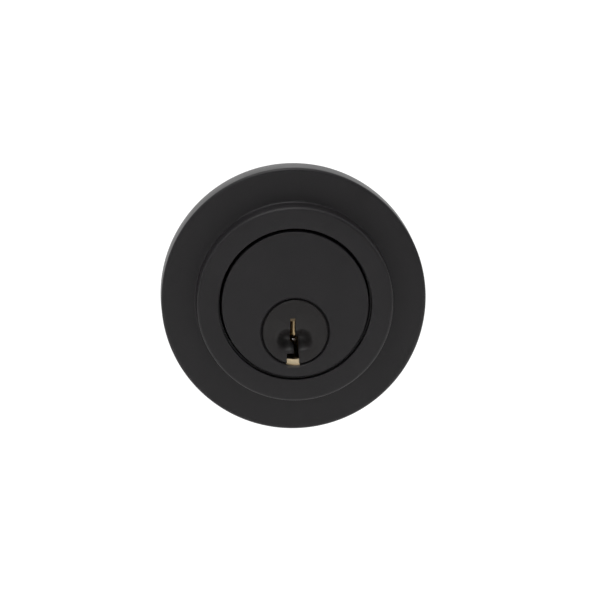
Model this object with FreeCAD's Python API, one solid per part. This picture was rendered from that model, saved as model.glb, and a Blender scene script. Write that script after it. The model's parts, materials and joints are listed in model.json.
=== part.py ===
import FreeCAD, Part
import math
import os

os.makedirs("parts", exist_ok=True)

# Single-cylinder deadbolt, fitted to a 40 mm door leaf, millimetres.
# Y = 0 is the outer face of the door, +Y runs through the leaf to the room,
# +X runs to the door's edge and +Z is up. The cross bore lies on the Y axis.

# door preparation
door_thickness = 40.0
backset = 60.0

# outside: rose, collar, cylinder
rose_radius = 30.0
rose_thickness = 7.8
collar_radius = 22.1
collar_front = -14.7
collar_lip = 2.5
cylinder_radius = 16.55
collar_gap = 0.72
cylinder_back = 10.2
flange_radius = 19.4
flange_front = -4.6
flange_back = -2.4
flange_room_radius = 19.6
recess_radius = 26.0
seal_inner = 27.3
seal_outer = 28.7
seal_depth = 0.9
retaining_screw_x = 22.4
screw_pilot_radius = 1.4
small_shank_radius = 1.35
small_hole_radius = 1.7

# plug, pins and tailpiece share one axis below the middle of the cylinder
plug_axis_z = -6.3
plug_radius = 6.35
plug_head_radius = 7.3
plug_head_depth = 1.1
plug_back = 14.0
counterbore_radius = 7.65
clip_groove_radius = 5.6
socket_radius = 5.2
socket_front = 11.7
running_fit = 0.05
pin_count = 5
first_pin_y = collar_front + 6.0
pin_spacing = 3.96
pin_radius = 1.42
chamber_radius = 1.5
driver_length = 5.0
key_pin_lengths = (8.7, 5.9, 6.7, 5.4, 6.2)
chamber_top = 14.6
cover_thickness = 1.7
cover_half_width = 2.5
tail_width = 6.0
tail_thickness = 1.6

# torque plate and posts behind the rose
torque_plate_radius = 25.8
torque_plate_back = -0.4
post_radius = 3.8
post_neck_radius = 2.9
post_bore = 2.55
post_end = 12.0

# bolt unit in the middle of the leaf
bolt_y = door_thickness / 2.0
bolt_throw = 25.4
bolt_width = 15.8
bolt_height = 22.0
bolt_round = 11.62
bolt_rear = 22.5
bolt_front = 59.6
tube_bore = 11.7
tube_radius = 12.5
tube_rear = 20.0
case_rear_end = -19.5
case_inner = 3.5
case_outer = 4.7
case_top = 10.4
case_bottom = -11.4
crank_radius = bolt_throw / math.sqrt(2.0)
crank_pin_radius = 1.5
crank_half = 1.2
fork_inner = 1.5
fork_outer = 3.1
roller_bore = 3.25
roller_radius = 3.17
roller_rear = 31.2
roller_front = 55.8
tail_rivet_x = 27.0
tail_rivet_z = 5.2
tail_rivet_radius = 1.5
hub_radius = 5.2
journal_radius = 4.4
face_width = 28.6
face_height = 57.0
face_screw_spacing = 41.3
face_plate_rear = 58.3
backplate_rear = 57.0
face_screw_hole = 2.3
face_screw_sink = 4.1
backplate_screw_hole = 3.3

# inside: plate, rose, thumbturn
plate_thickness = 2.0
plate_radius = 27.9
through_bolt_z = 21.5
inner_rose_thickness = 7.5
rose_screw_x = 22.0
boss_radius = 9.0
bushing_bore = 6.6
spindle_radius = 5.0
spindle_end = 52.2
turn_base_radius = 11.0
turn_base_height = 4.6
turn_length = 34.0
turn_width = 8.0
turn_front = 66.5

Y = FreeCAD.Vector(0, 1, 0)


def vec(x, y, z):
    return FreeCAD.Vector(x, y, z)


def rod(radius, y_low, y_high, x=0.0, z=0.0):
    """Cylinder along Y."""
    return Part.makeCylinder(radius, y_high - y_low, vec(x, y_low, z), Y)


def tube(inner, outer, y_low, y_high, x=0.0, z=0.0):
    """Ring along Y."""
    return rod(outer, y_low, y_high, x, z).cut(rod(inner, y_low - 1, y_high + 1, x, z))


def cone(radius_low, radius_high, y_low, y_high, x=0.0, z=0.0):
    """Cone along Y."""
    return Part.makeCone(radius_low, radius_high, y_high - y_low, vec(x, y_low, z), Y)


def bar(radius, x_low, x_high, y=0.0, z=0.0):
    """Cylinder along X."""
    return Part.makeCylinder(radius, x_high - x_low, vec(x_low, y, z), vec(1, 0, 0))


def post(radius, z_low, z_high, x=0.0, y=0.0):
    """Cylinder along Z."""
    return Part.makeCylinder(radius, z_high - z_low, vec(x, y, z_low), vec(0, 0, 1))


def block(x_low, x_high, y_low, y_high, z_low, z_high):
    """Box between two corners."""
    size = (x_high - x_low, y_high - y_low, z_high - z_low)
    return Part.makeBox(size[0], size[1], size[2], vec(x_low, y_low, z_low))


def turned(profile, x=0.0, z=0.0):
    """Solid of revolution about an axis along Y from (radius, y) points."""
    points = [vec(x + r, y, z) for r, y in profile]
    points.append(points[0])
    face = Part.Face(Part.makePolygon(points))
    return face.revolve(vec(x, 0, z), Y, 360)


def plate_xz(outline, y_low, y_high):
    """Flat plate with a corner outline in X and Z."""
    points = [vec(x, y_low, z) for x, z in outline]
    points.append(points[0])
    return Part.Face(Part.makePolygon(points)).extrude(vec(0, y_high - y_low, 0))


def joined(shapes):
    result = shapes[0]
    for shape in shapes[1:]:
        result = result.fuse(shape)
    return result.removeSplitter()


def group(shapes):
    return Part.makeCompound(shapes)


def save(node, shape):
    """Write one sub-part, and say its volume and box."""
    if not shape.isValid():
        print("not valid:", node)
    shape.exportStep(os.path.join("parts", node + ".step"))
    box = shape.BoundBox
    print(
        f"{node:22s} {len(shape.Solids)} {shape.Volume:9.1f}",
        f"x {box.XMin:6.2f} {box.XMax:6.2f} y {box.YMin:6.2f} {box.YMax:6.2f}",
        f"z {box.ZMin:6.2f} {box.ZMax:6.2f}",
    )


# ---------------------------------------------------------------- outside


def exterior_rose():
    """Cast disc with its raised collar, bored for the cylinder."""
    bevel = 0.7
    fillet = 0.6
    edge = 0.8
    bore = cylinder_radius + collar_gap
    base = -rose_thickness
    outline = [
        (bore, collar_front + 0.25),
        (bore + 0.25, collar_front),
        (collar_radius - bevel, collar_front),
        (collar_radius, collar_front + bevel),
        (collar_radius, base - fillet),
        (collar_radius + fillet, base),
        (rose_radius - edge, base),
        (rose_radius, base + edge),
        (rose_radius, 0.0),
        (seal_outer, 0.0),
        (seal_outer, -seal_depth),
        (seal_inner, -seal_depth),
        (seal_inner, 0.0),
        (recess_radius, 0.0),
        (recess_radius, flange_back),
        (flange_room_radius, flange_back),
        (flange_room_radius, collar_front + collar_lip),
        (bore, collar_front + collar_lip),
    ]
    shape = turned(outline)
    for x in (-retaining_screw_x, retaining_screw_x):
        shape = shape.cut(rod(screw_pilot_radius, flange_back - 3.4, flange_back + 1, x))
    return shape


def rose_seal():
    """Rubber ring in the groove of the rose's rim."""
    return tube(seal_inner, seal_outer, -seal_depth, 0.0)


def guard_ring():
    """Hard steel sleeve between collar and cylinder."""
    inner = cylinder_radius + 0.25
    outer = flange_room_radius - 0.1
    return tube(inner, outer, collar_front + collar_lip + 0.1, flange_front - 0.1)


def pin_ys():
    return [first_pin_y + pin_spacing * i for i in range(pin_count)]


def cylinder_body():
    """Cylinder with plug bore, pin chambers and a retaining flange."""
    edge = 0.3
    outline = [
        (0.0, collar_front),
        (cylinder_radius - edge, collar_front),
        (cylinder_radius, collar_front + edge),
        (cylinder_radius, flange_front),
        (flange_radius, flange_front),
        (flange_radius, flange_back),
        (cylinder_radius, flange_back),
        (cylinder_radius, cylinder_back - edge),
        (cylinder_radius - edge, cylinder_back),
        (0.0, cylinder_back),
    ]
    shape = turned(outline)
    shape = shape.cut(rod(plug_radius + running_fit, collar_front - 1, cylinder_back + 1, 0, plug_axis_z))
    step = collar_front + plug_head_depth + 0.1
    shape = shape.cut(rod(counterbore_radius, collar_front - 1, step, 0, plug_axis_z))
    rim = (counterbore_radius + edge, counterbore_radius)
    lead_in = cone(rim[0], rim[1], collar_front - 0.001, collar_front + edge, 0, plug_axis_z)
    shape = shape.cut(lead_in)
    for y in pin_ys():
        shape = shape.cut(post(chamber_radius, plug_axis_z, chamber_top + 0.5, 0, y))
    y_low = first_pin_y - 3.0
    y_high = cylinder_back + 1
    half = cover_half_width + running_fit
    return shape.cut(block(-half, half, y_low, y_high, chamber_top, cylinder_radius + 3))


def chamber_cover():
    """Brass strip that closes the pin chambers."""
    y_low = first_pin_y - 2.9
    half = cover_half_width
    return block(-half, half, y_low, cylinder_back, chamber_top, chamber_top + cover_thickness)


def keyway():
    """Slot for the key, seen from outside, with a step across at its neck."""
    axis = plug_axis_z
    outline = [
        (-1.15, axis + 3.1),
        (0.05, axis + 3.1),
        (0.05, axis - 0.9),
        (0.75, axis - 1.6),
        (0.75, axis - 4.9),
        (0.9, axis - 5.3),
        (0.9, axis - 9.0),
        (-1.9, axis - 9.0),
        (-1.9, axis - 4.9),
        (-0.35, axis - 4.9),
        (-0.35, axis - 3.0),
        (-1.15, axis - 2.2),
    ]
    return plate_xz(outline, collar_front - 2, 11.0)


def plug():
    """Turning core with keyway, finger dish, pin holes and a rear socket with one lug."""
    head_back = collar_front + plug_head_depth
    edge = 0.3
    groove_front = cylinder_back + 0.2
    groove_back = groove_front + 0.85
    outline = [
        (0.0, collar_front),
        (plug_head_radius - edge, collar_front),
        (plug_head_radius, collar_front + edge),
        (plug_head_radius, head_back),
        (plug_radius, head_back),
        (plug_radius, groove_front),
        (clip_groove_radius, groove_front),
        (clip_groove_radius, groove_back),
        (plug_radius, groove_back),
        (plug_radius, plug_back),
        (0.0, plug_back),
    ]
    shape = turned(outline, 0.0, plug_axis_z)
    shape = shape.cut(keyway())
    dish_depth = 1.0
    dish_half = 2.15
    ball = (dish_half**2 + dish_depth**2) / (2 * dish_depth)
    for x in (-1.25, 1.25):
        centre = vec(x, collar_front - ball + dish_depth, plug_axis_z - 1.55)
        shape = shape.cut(Part.makeSphere(ball, centre))
    for y in pin_ys():
        shape = shape.cut(post(chamber_radius, plug_axis_z - 2.6, 2.0, 0, y))
    lug_inner = socket_radius - 1.05
    socket = rod(socket_radius, socket_front, plug_back + 1, 0, plug_axis_z)
    lug = sector(lug_inner, socket_radius, socket_front, plug_back - 0.3, -45.0, 15.0)
    return shape.cut(socket.cut(lug))


def sector(inner, outer, y_low, y_high, angle, half_angle):
    """Ring segment about the plug's axis, its middle at an angle from straight up towards +X."""
    reach = 12.0
    wedge = []
    for a in (angle - half_angle, angle + half_angle):
        turn = math.radians(a)
        wedge.append((reach * math.sin(turn), plug_axis_z + reach * math.cos(turn)))
    wedge.append((0.0, plug_axis_z))
    ring = tube(inner, outer, y_low, y_high, 0, plug_axis_z)
    return ring.common(plate_xz(wedge, y_low, y_high))


def key_pins():
    """Brass bottom pins, their tops just under the shear line and their tips coned."""
    top = plug_axis_z + 6.15
    tip = 1.0
    pins = []
    for y, length in zip(pin_ys(), key_pin_lengths):
        foot = top - length
        body = post(pin_radius, foot + tip, top, 0, y)
        nose = Part.makeCone(0.45, pin_radius, tip, vec(0, y, foot), vec(0, 0, 1))
        pins.append(body.fuse(nose).removeSplitter())
    return group(pins)


def driver_bottom():
    return plug_axis_z + plug_radius + 0.07


def driver_pin(index):
    """Spooled steel top pin."""
    y = pin_ys()[index]
    low = driver_bottom()
    body = post(pin_radius, low, low + driver_length, 0, y)
    waist = post(pin_radius + 1, low + 1.4, low + driver_length - 1.4, 0, y)
    return body.cut(waist.cut(post(1.05, low, low + driver_length, 0, y)))


def pin_spring(index):
    """Closed outer shape of one pin spring."""
    y = pin_ys()[index]
    low = driver_bottom() + driver_length
    outer = post(1.3, low, chamber_top, 0, y)
    return outer.cut(post(0.95, low - 1, chamber_top + 1, 0, y))


def plug_clip():
    """Spring clip in the groove behind the cylinder."""
    y_low = cylinder_back + 0.3
    y_high = y_low + 0.65
    ring = tube(clip_groove_radius + 0.05, 8.3, y_low, y_high, 0, plug_axis_z)
    return ring.cut(block(-4.2, 4.2, y_low - 1, y_high + 1, plug_axis_z - 12, plug_axis_z))


def tailpiece_cap():
    """Ring on the plug's rear end that keeps the tailpiece in its socket."""
    return tube(3.5, 6.3, plug_back, plug_back + 0.9, 0, plug_axis_z)


def tailpiece():
    """Flat blade through the leaf, its round head carrying one driving arm."""
    head_front = socket_front + 0.2
    head_back = plug_back - 0.3
    head = rod(3.9, head_front, head_back, 0, plug_axis_z)
    arm = sector(3.0, socket_radius - 0.2, head_front, head_back, 90.0, 12.0)
    half_t = tail_thickness / 2
    half_w = tail_width / 2
    blade = block(-half_t, half_t, head_back - 0.7, 48.0, plug_axis_z - half_w, plug_axis_z + half_w)
    return joined([head, arm, blade])


def torque_plate():
    """Steel plate that keeps the cylinder in the rose and carries the posts."""
    shape = rod(torque_plate_radius, flange_back, torque_plate_back)
    shape = shape.cut(rod(cylinder_radius + 0.15, flange_back - 1, 1))
    sink_depth = 1.4
    sink = small_hole_radius + sink_depth
    back = torque_plate_back
    for x in (-retaining_screw_x, retaining_screw_x):
        shape = shape.cut(rod(small_hole_radius, flange_back - 1, 1, x))
        shape = shape.cut(cone(small_hole_radius, sink, back - sink_depth, back + 0.001, x))
    for z in (-through_bolt_z, through_bolt_z):
        shape = shape.cut(rod(post_neck_radius + 0.05, flange_back - 1, 1, 0, z))
    return shape


def mounting_posts():
    """Two threaded posts riveted in the torque plate."""
    posts = []
    for z in (-through_bolt_z, through_bolt_z):
        neck = rod(post_neck_radius, flange_back, torque_plate_back, 0, z)
        shape = rod(post_radius, torque_plate_back, post_end, 0, z).fuse(neck)
        shape = shape.cut(rod(post_bore, 0.5, post_end + 1, 0, z))
        posts.append(shape.removeSplitter())
    return group(posts)


def countersunk(head_radius, shank_radius, face_y, direction, length, x, z):
    """Countersunk screw along Y with a cross recess, its head flush with face_y."""
    head_depth = head_radius - shank_radius
    inward = face_y + direction * head_depth
    tip = face_y + direction * length
    outline = [
        (0.0, face_y),
        (head_radius, face_y),
        (shank_radius, inward),
        (shank_radius, tip - direction * shank_radius * 0.6),
        (shank_radius * 0.4, tip),
        (0.0, tip),
    ]
    shape = turned(outline, x, z)
    recess = head_radius * 0.55
    slot = head_radius * 0.14
    low = min(face_y, face_y + direction * 1.1)
    high = max(face_y, face_y + direction * 1.1)
    shape = shape.cut(block(x - recess, x + recess, low, high, z - slot, z + slot))
    return shape.cut(block(x - slot, x + slot, low, high, z - recess, z + recess))


def retaining_screws():
    """Two small screws from the torque plate into the rose."""
    screws = []
    for x in (-retaining_screw_x, retaining_screw_x):
        screws.append(countersunk(3.05, small_shank_radius, torque_plate_back, -1, 5.2, x, 0.0))
    return group(screws)


# ---------------------------------------------------------------- bolt unit


def bolt_section(x_low, x_high, grow=0.0):
    """The bolt's rounded oblong section as a bar along X."""
    half_w = bolt_width / 2 + grow
    half_h = bolt_height / 2 + grow
    bar_shape = block(x_low, x_high, bolt_y - half_w, bolt_y + half_w, -half_h, half_h)
    return bar_shape.common(bar(bolt_round + grow, x_low, x_high, bolt_y))


def section_wire(x, grow):
    """Outline of the bolt's section at one place along X."""
    for face in bolt_section(x - 1.0, x, grow).Faces:
        if face.BoundBox.XMin > x - 0.01:
            return face.OuterWire


def bolt_head():
    """Solid bolt, rear pocket for the tail, blind bore for the roller pin."""
    bevel = 0.8
    wires = [section_wire(bolt_front - bevel, 0.0), section_wire(bolt_front, -bevel)]
    nose = Part.makeLoft(wires, True, True)
    shape = joined([bolt_section(bolt_rear, bolt_front - bevel), nose])
    shape = shape.cut(block(bolt_rear - 1, 31.0, bolt_y - 3.2, bolt_y + 3.2, 0.2, 10.2))
    shape = shape.cut(bar(roller_bore, bolt_rear - 1, roller_front + 0.2, bolt_y))
    return shape.cut(tail_rivet_hole())


def tail_rivet_hole():
    return rod(tail_rivet_radius + 0.02, bolt_y - 9, bolt_y + 9, tail_rivet_x, tail_rivet_z)


def bolt_roller_pin():
    """Hard pin that spins under a saw, its ends coned."""
    cone_depth = 0.5
    tip = roller_radius - cone_depth
    rear = roller_rear + cone_depth
    front = roller_front - cone_depth
    middle = bar(roller_radius, rear, front, bolt_y)
    ends = []
    for x, direction in ((rear, -1), (front, 1)):
        end = Part.makeCone(roller_radius, tip, cone_depth, vec(x, bolt_y, 0), vec(direction, 0, 0))
        ends.append(end)
    return joined([middle] + ends)


def bolt_tail():
    """Forked steel tail: two plates joined by a bend inside the bolt."""
    slot_half = crank_pin_radius + 0.85
    tine = 2.5
    slot_x = -bolt_throw / 2
    rear = slot_x - slot_half - tine
    outline = [
        (rear, 0.4),
        (30.0, 0.4),
        (30.0, 10.0),
        (slot_x + slot_half + tine + 2.0, 10.0),
        (slot_x + slot_half + tine, 12.0),
        (slot_x + slot_half, 12.0),
        (slot_x + slot_half, 4.4),
        (slot_x - slot_half, 4.4),
        (slot_x - slot_half, 12.0),
        (rear, 12.0),
    ]
    plates = []
    for side in (-1, 1):
        low = bolt_y + min(side * fork_inner, side * fork_outer)
        plates.append(plate_xz(outline, low, low + fork_outer - fork_inner))
    bend = block(28.6, 30.8, bolt_y - fork_outer, bolt_y + fork_outer, 3.6, 10.0)
    shape = joined(plates + [bend])
    return shape.cut(tail_rivet_hole())


def tail_rivet():
    reach = bolt_width / 2 - 0.2
    return rod(tail_rivet_radius, bolt_y - reach, bolt_y + reach, tail_rivet_x, tail_rivet_z)


def cam():
    """Hub turned by the tailpiece, with a crank arm up to the fork."""
    axis = plug_axis_z
    hub = rod(hub_radius, bolt_y - crank_half, bolt_y + crank_half, 0, axis)
    journal = rod(journal_radius, bolt_y - case_outer, bolt_y + case_outer, 0, axis)
    arm = block(-3.2, 3.2, bolt_y - crank_half, bolt_y + crank_half, axis, axis + crank_radius)
    taper = plate_xz(
        [(-3.2, axis), (3.2, axis), (2.4, axis + crank_radius), (-2.4, axis + crank_radius)],
        bolt_y - crank_half,
        bolt_y + crank_half,
    )
    eye = rod(2.4, bolt_y - crank_half, bolt_y + crank_half, 0, axis + crank_radius)
    shape = joined([hub, journal, arm.common(taper), eye])
    shape = shape.cut(rod(crank_pin_radius + 0.02, bolt_y - 9, bolt_y + 9, 0, axis + crank_radius))
    shape.rotate(vec(0, 0, axis), Y, -45)
    half_t = tail_thickness / 2 + 0.25
    half_w = tail_width / 2 + 0.25
    return shape.cut(block(-half_t, half_t, 10.0, 30.0, axis - half_w, axis + half_w))


def crank_pin():
    """Pin of the crank arm, running in both fork plates."""
    reach = bolt_throw / 2
    return rod(crank_pin_radius, bolt_y - 2.9, bolt_y + 2.9, -reach, plug_axis_z + reach)


def rivet_places():
    return [(-16.2, -7.6), (12.5, -7.6), (17.6, -3.6)]


def case_half(side):
    """One pressed half of the bolt case: wall, foot flange and rear end."""
    wall_low = bolt_y + min(side * case_inner, side * case_outer)
    wall_high = wall_low + case_outer - case_inner
    flange_low = min(bolt_y, bolt_y + side * case_inner)
    flange_high = max(bolt_y, bolt_y + side * case_inner)
    corner = 2.5
    outline = [
        (case_rear_end, case_bottom + corner),
        (case_rear_end + corner, case_bottom),
        (tube_rear, case_bottom),
        (tube_rear, case_top),
        (case_rear_end + corner, case_top),
        (case_rear_end, case_top - corner),
    ]
    wall = plate_xz(outline, wall_low, wall_high)
    thick = case_outer - case_inner
    foot_a = block(case_rear_end + corner, -7.0, flange_low, flange_high, case_bottom, case_bottom + thick)
    foot_b = block(7.0, tube_rear, flange_low, flange_high, case_bottom, case_bottom + thick)
    end_low = case_bottom + corner
    end_high = case_top - corner
    end = block(case_rear_end, case_rear_end + thick, flange_low, flange_high, end_low, end_high)
    shape = joined([wall, foot_a, foot_b, end])
    shape = shape.cut(rod(journal_radius + running_fit, 0, door_thickness, 0, plug_axis_z))
    for x, z in rivet_places():
        shape = shape.cut(rod(1.25, 0, door_thickness, x, z))
    return shape


def case_rivets():
    """Rivets with a spacer shoulder between the case walls."""
    rivets = []
    for x, z in rivet_places():
        shank = rod(1.23, bolt_y - case_outer, bolt_y + case_outer, x, z)
        shoulder = rod(1.9, bolt_y - case_inner, bolt_y + case_inner, x, z)
        heads = [rod(2.1, bolt_y - case_outer - 0.5, bolt_y - case_outer, x, z)]
        heads.append(rod(2.1, bolt_y + case_outer, bolt_y + case_outer + 0.5, x, z))
        rivets.append(joined([shank, shoulder] + heads))
    return group(rivets)


def cam_spring():
    """Bent leaf that steadies the cam at both ends of its turn."""
    half = 2.6
    foot = block(-14.3, -6.1, bolt_y - half, bolt_y + half, -10.1, -9.7)
    lip = block(-6.1, -5.7, bolt_y - half, bolt_y + half, -10.1, -6.9)
    tail = block(-14.3, -13.9, bolt_y - half, bolt_y + half, -10.1, -7.0)
    return joined([foot, lip, tail])


def bolt_tube():
    """Round tube of the bolt with a slotted rear wall."""
    shape = bar(tube_radius, tube_rear, face_plate_rear, bolt_y)
    shape = shape.cut(bar(tube_bore, tube_rear + 1.2, backset, bolt_y))
    return shape.cut(block(tube_rear - 1, tube_rear + 2, bolt_y - 3.5, bolt_y + 3.5, 0.0, 10.4))


def rounded_plate(x_low, x_high, width, height):
    """Upright plate with half-round ends."""
    radius = width / 2
    straight = height / 2 - radius
    middle = block(x_low, x_high, bolt_y - radius, bolt_y + radius, -straight, straight)
    ends = [bar(radius, x_low, x_high, bolt_y, z) for z in (-straight, straight)]
    return joined([middle] + ends)


def face_backplate():
    """Plate behind the faceplate, round the tube's front end, its screw holes wide for adjusting."""
    shape = rounded_plate(backplate_rear, face_plate_rear, face_width - 1.0, face_height - 1.0)
    shape = shape.cut(bar(tube_radius + 0.02, 50, 70, bolt_y))
    for z in (-face_screw_spacing / 2, face_screw_spacing / 2):
        shape = shape.cut(bar(backplate_screw_hole, 50, 70, bolt_y, z))
    return shape


def faceplate():
    """Outer plate in the door's edge."""
    shape = rounded_plate(face_plate_rear, backset, face_width, face_height)
    sink_depth = face_screw_sink - face_screw_hole
    shape = shape.cut(bolt_section(50, 70, 0.35))
    for z in (-face_screw_spacing / 2, face_screw_spacing / 2):
        shape = shape.cut(bar(face_screw_hole, 50, 70, bolt_y, z))
        foot = vec(backset - sink_depth, bolt_y, z)
        sink = Part.makeCone(face_screw_hole, face_screw_sink, sink_depth, foot, vec(1, 0, 0))
        shape = shape.cut(sink)
    return shape


def faceplate_screws():
    """Two countersunk wood screws into the door's edge."""
    screws = []
    for z in (-face_screw_spacing / 2, face_screw_spacing / 2):
        shape = countersunk(4.0, 2.0, 0.0, -1, 22.0, 0.0, 0.0)
        shape.rotate(vec(0, 0, 0), vec(0, 0, 1), -90)
        shape.translate(vec(backset, bolt_y, z))
        screws.append(shape)
    return group(screws)


# ---------------------------------------------------------------- inside


def mounting_plate():
    """Steel plate on the inner face of the door."""
    low = door_thickness
    high = low + plate_thickness
    shape = rod(plate_radius, low, high).cut(rod(8.5, low - 1, high + 1, 0, plug_axis_z))
    for z in (-through_bolt_z, through_bolt_z):
        shape = shape.cut(rod(2.7, low - 1, high + 1, 0, z))
    for x in (-rose_screw_x, rose_screw_x):
        shape = shape.cut(rod(screw_pilot_radius, low - 1, high + 1, x))
    return shape


def through_bolts():
    """Two machine bolts from the mounting plate into the posts."""
    seat = door_thickness + plate_thickness
    bolts = []
    for z in (-through_bolt_z, through_bolt_z):
        head = rod(4.3, seat, seat + 2.8, 0, z).cut(hexagon(1.5, seat + 1.2, seat + 3, z))
        bolts.append(joined([rod(2.5, 3.0, seat, 0, z), head]))
    return group(bolts)


def hexagon(half_flats, y_low, y_high, z):
    """Six-sided socket along Y."""
    reach = half_flats / math.cos(math.pi / 6)
    angles = [math.pi / 3 * i for i in range(6)]
    outline = [(reach * math.cos(a), z + reach * math.sin(a)) for a in angles]
    return plate_xz(outline, y_low, y_high)


def interior_rose():
    """Hollow inner rose with a bearing boss for the thumbturn."""
    back = door_thickness
    front = back + inner_rose_thickness
    wall = 1.8
    inside = front - wall - 0.1
    outline = [
        (0.0, front),
        (rose_radius - 0.8, front),
        (rose_radius, front - 0.8),
        (rose_radius, back),
        (rose_radius - wall, back),
        (rose_radius - wall, inside),
        (0.0, inside),
    ]
    bosses = [rod(boss_radius, back + 4.0, inside, 0, plug_axis_z)]
    for x in (-rose_screw_x, rose_screw_x):
        bosses.append(rod(3.4, back + plate_thickness, inside, x))
    shape = joined([turned(outline)] + bosses)
    shape = shape.cut(rod(bushing_bore, back, front + 1, 0, plug_axis_z))
    for x in (-rose_screw_x, rose_screw_x):
        shape = shape.cut(rod(small_hole_radius, back, front + 1, x))
        shape = shape.cut(cone(small_hole_radius, 3.2, front - 1.5, front + 0.001, x))
    return shape


def rose_screws():
    """Two screws that hold the inner rose to the mounting plate."""
    front = door_thickness + inner_rose_thickness
    places = (-rose_screw_x, rose_screw_x)
    return group([countersunk(3.1, small_shank_radius, front, -1, 8.6, x, 0.0) for x in places])


def turn_bushing():
    """Nylon bearing of the thumbturn, its flange outside."""
    front = door_thickness + inner_rose_thickness
    sleeve = tube(spindle_radius + running_fit, bushing_bore - 0.05, front - 3.5, front, 0, plug_axis_z)
    flange = tube(spindle_radius + running_fit, 8.2, front, front + 0.6, 0, plug_axis_z)
    return joined([sleeve, flange])


def wave_washer():
    """Spring washer between boss and clip."""
    return tube(5.35, 7.9, door_thickness + 3.3, door_thickness + 3.95, 0, plug_axis_z)


def e_clip():
    """Clip in the spindle's groove."""
    y_low = door_thickness + 2.35
    y_high = y_low + 0.75
    ring = tube(4.05, 7.2, y_low, y_high, 0, plug_axis_z)
    return ring.cut(block(-2.4, 2.4, y_low - 1, y_high + 1, plug_axis_z - 12, plug_axis_z))


def thumbturn_spindle():
    """Shaft of the thumbturn, slotted for the tailpiece."""
    low = door_thickness + 1.6
    shape = rod(spindle_radius, low, spindle_end, 0, plug_axis_z)
    shape = shape.cut(tube(4.0, 6.0, low + 0.7, low + 1.55, 0, plug_axis_z))
    half_t = tail_thickness / 2 + 0.3
    half_w = tail_width / 2 + 0.3
    slot = block(-half_t, half_t, low - 1, 48.6, plug_axis_z - half_w, plug_axis_z + half_w)
    return shape.cut(slot)


def thumbturn_knob():
    """Finger grip: round base and an upright oval blade."""
    base_low = door_thickness + inner_rose_thickness + 0.9
    base_high = base_low + turn_base_height
    base = turned(
        [
            (0.0, base_low),
            (turn_base_radius, base_low),
            (turn_base_radius, base_high - 1.0),
            (turn_base_radius - 1.4, base_high),
            (0.0, base_high),
        ],
        0.0,
        plug_axis_z,
    )
    radius = turn_width / 2
    straight = turn_length / 2 - radius
    low = base_high - 1.0
    high = turn_front
    middle = block(-radius, radius, low, high, plug_axis_z - straight, plug_axis_z + straight)
    ends = [rod(radius, low, high, 0, plug_axis_z + z) for z in (-straight, straight)]
    grip = joined([middle] + ends)
    top_edges = []
    for edge in grip.Edges:
        if edge.BoundBox.YMin > high - 0.01:
            top_edges.append(edge)
    grip = grip.makeFillet(1.6, top_edges)
    shape = joined([base, grip])
    return shape.cut(rod(spindle_radius + 0.02, base_low - 1, spindle_end + 0.1, 0, plug_axis_z))


def main():
    save("exterior_rose", exterior_rose())
    save("rose_seal", rose_seal())
    save("guard_ring", guard_ring())
    save("cylinder_body", cylinder_body())
    save("chamber_cover", chamber_cover())
    save("plug", plug())
    save("key_pins", key_pins())
    for index in range(pin_count):
        save(f"driver_pin_{index + 1}", driver_pin(index))
        save(f"pin_spring_{index + 1}", pin_spring(index))
    save("plug_clip", plug_clip())
    save("tailpiece_cap", tailpiece_cap())
    save("tailpiece", tailpiece())
    save("torque_plate", torque_plate())
    save("mounting_posts", mounting_posts())
    save("retaining_screws", retaining_screws())
    save("bolt_head", bolt_head())
    save("bolt_roller_pin", bolt_roller_pin())
    save("bolt_tail", bolt_tail())
    save("tail_rivet", tail_rivet())
    save("cam", cam())
    save("crank_pin", crank_pin())
    save("case_front", case_half(-1))
    save("case_rear", case_half(1))
    save("case_rivets", case_rivets())
    save("cam_spring", cam_spring())
    save("bolt_tube", bolt_tube())
    save("face_backplate", face_backplate())
    save("faceplate", faceplate())
    save("faceplate_screws", faceplate_screws())
    save("mounting_plate", mounting_plate())
    save("through_bolts", through_bolts())
    save("interior_rose", interior_rose())
    save("rose_screws", rose_screws())
    save("turn_bushing", turn_bushing())
    save("wave_washer", wave_washer())
    save("e_clip", e_clip())
    save("thumbturn_spindle", thumbturn_spindle())
    save("thumbturn_knob", thumbturn_knob())


main()
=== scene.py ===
import json
import math

import bmesh
import bpy
from mathutils import Matrix, Vector


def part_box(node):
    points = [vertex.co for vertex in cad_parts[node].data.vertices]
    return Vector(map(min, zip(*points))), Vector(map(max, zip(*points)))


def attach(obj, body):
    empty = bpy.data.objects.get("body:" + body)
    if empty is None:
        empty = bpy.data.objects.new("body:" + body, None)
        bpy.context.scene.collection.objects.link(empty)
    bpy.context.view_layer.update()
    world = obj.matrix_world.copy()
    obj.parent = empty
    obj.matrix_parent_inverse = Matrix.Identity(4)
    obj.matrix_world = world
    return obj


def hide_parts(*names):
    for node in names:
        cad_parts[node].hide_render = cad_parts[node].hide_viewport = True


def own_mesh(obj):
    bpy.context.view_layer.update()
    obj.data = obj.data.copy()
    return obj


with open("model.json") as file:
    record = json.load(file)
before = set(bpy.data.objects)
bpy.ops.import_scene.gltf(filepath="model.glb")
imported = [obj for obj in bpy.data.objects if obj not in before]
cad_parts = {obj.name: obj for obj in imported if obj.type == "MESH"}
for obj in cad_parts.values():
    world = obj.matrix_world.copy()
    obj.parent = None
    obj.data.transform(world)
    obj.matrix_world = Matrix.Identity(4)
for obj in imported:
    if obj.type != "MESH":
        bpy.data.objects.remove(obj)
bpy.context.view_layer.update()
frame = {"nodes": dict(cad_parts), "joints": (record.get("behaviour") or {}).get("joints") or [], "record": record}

mm = 0.001
print("frame loaded:", len(frame["nodes"]), "nodes")

# places that the CAD nodes give, in millimetres
def span(axis, node):
    return [getattr(corner, axis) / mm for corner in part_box(node)]


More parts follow.
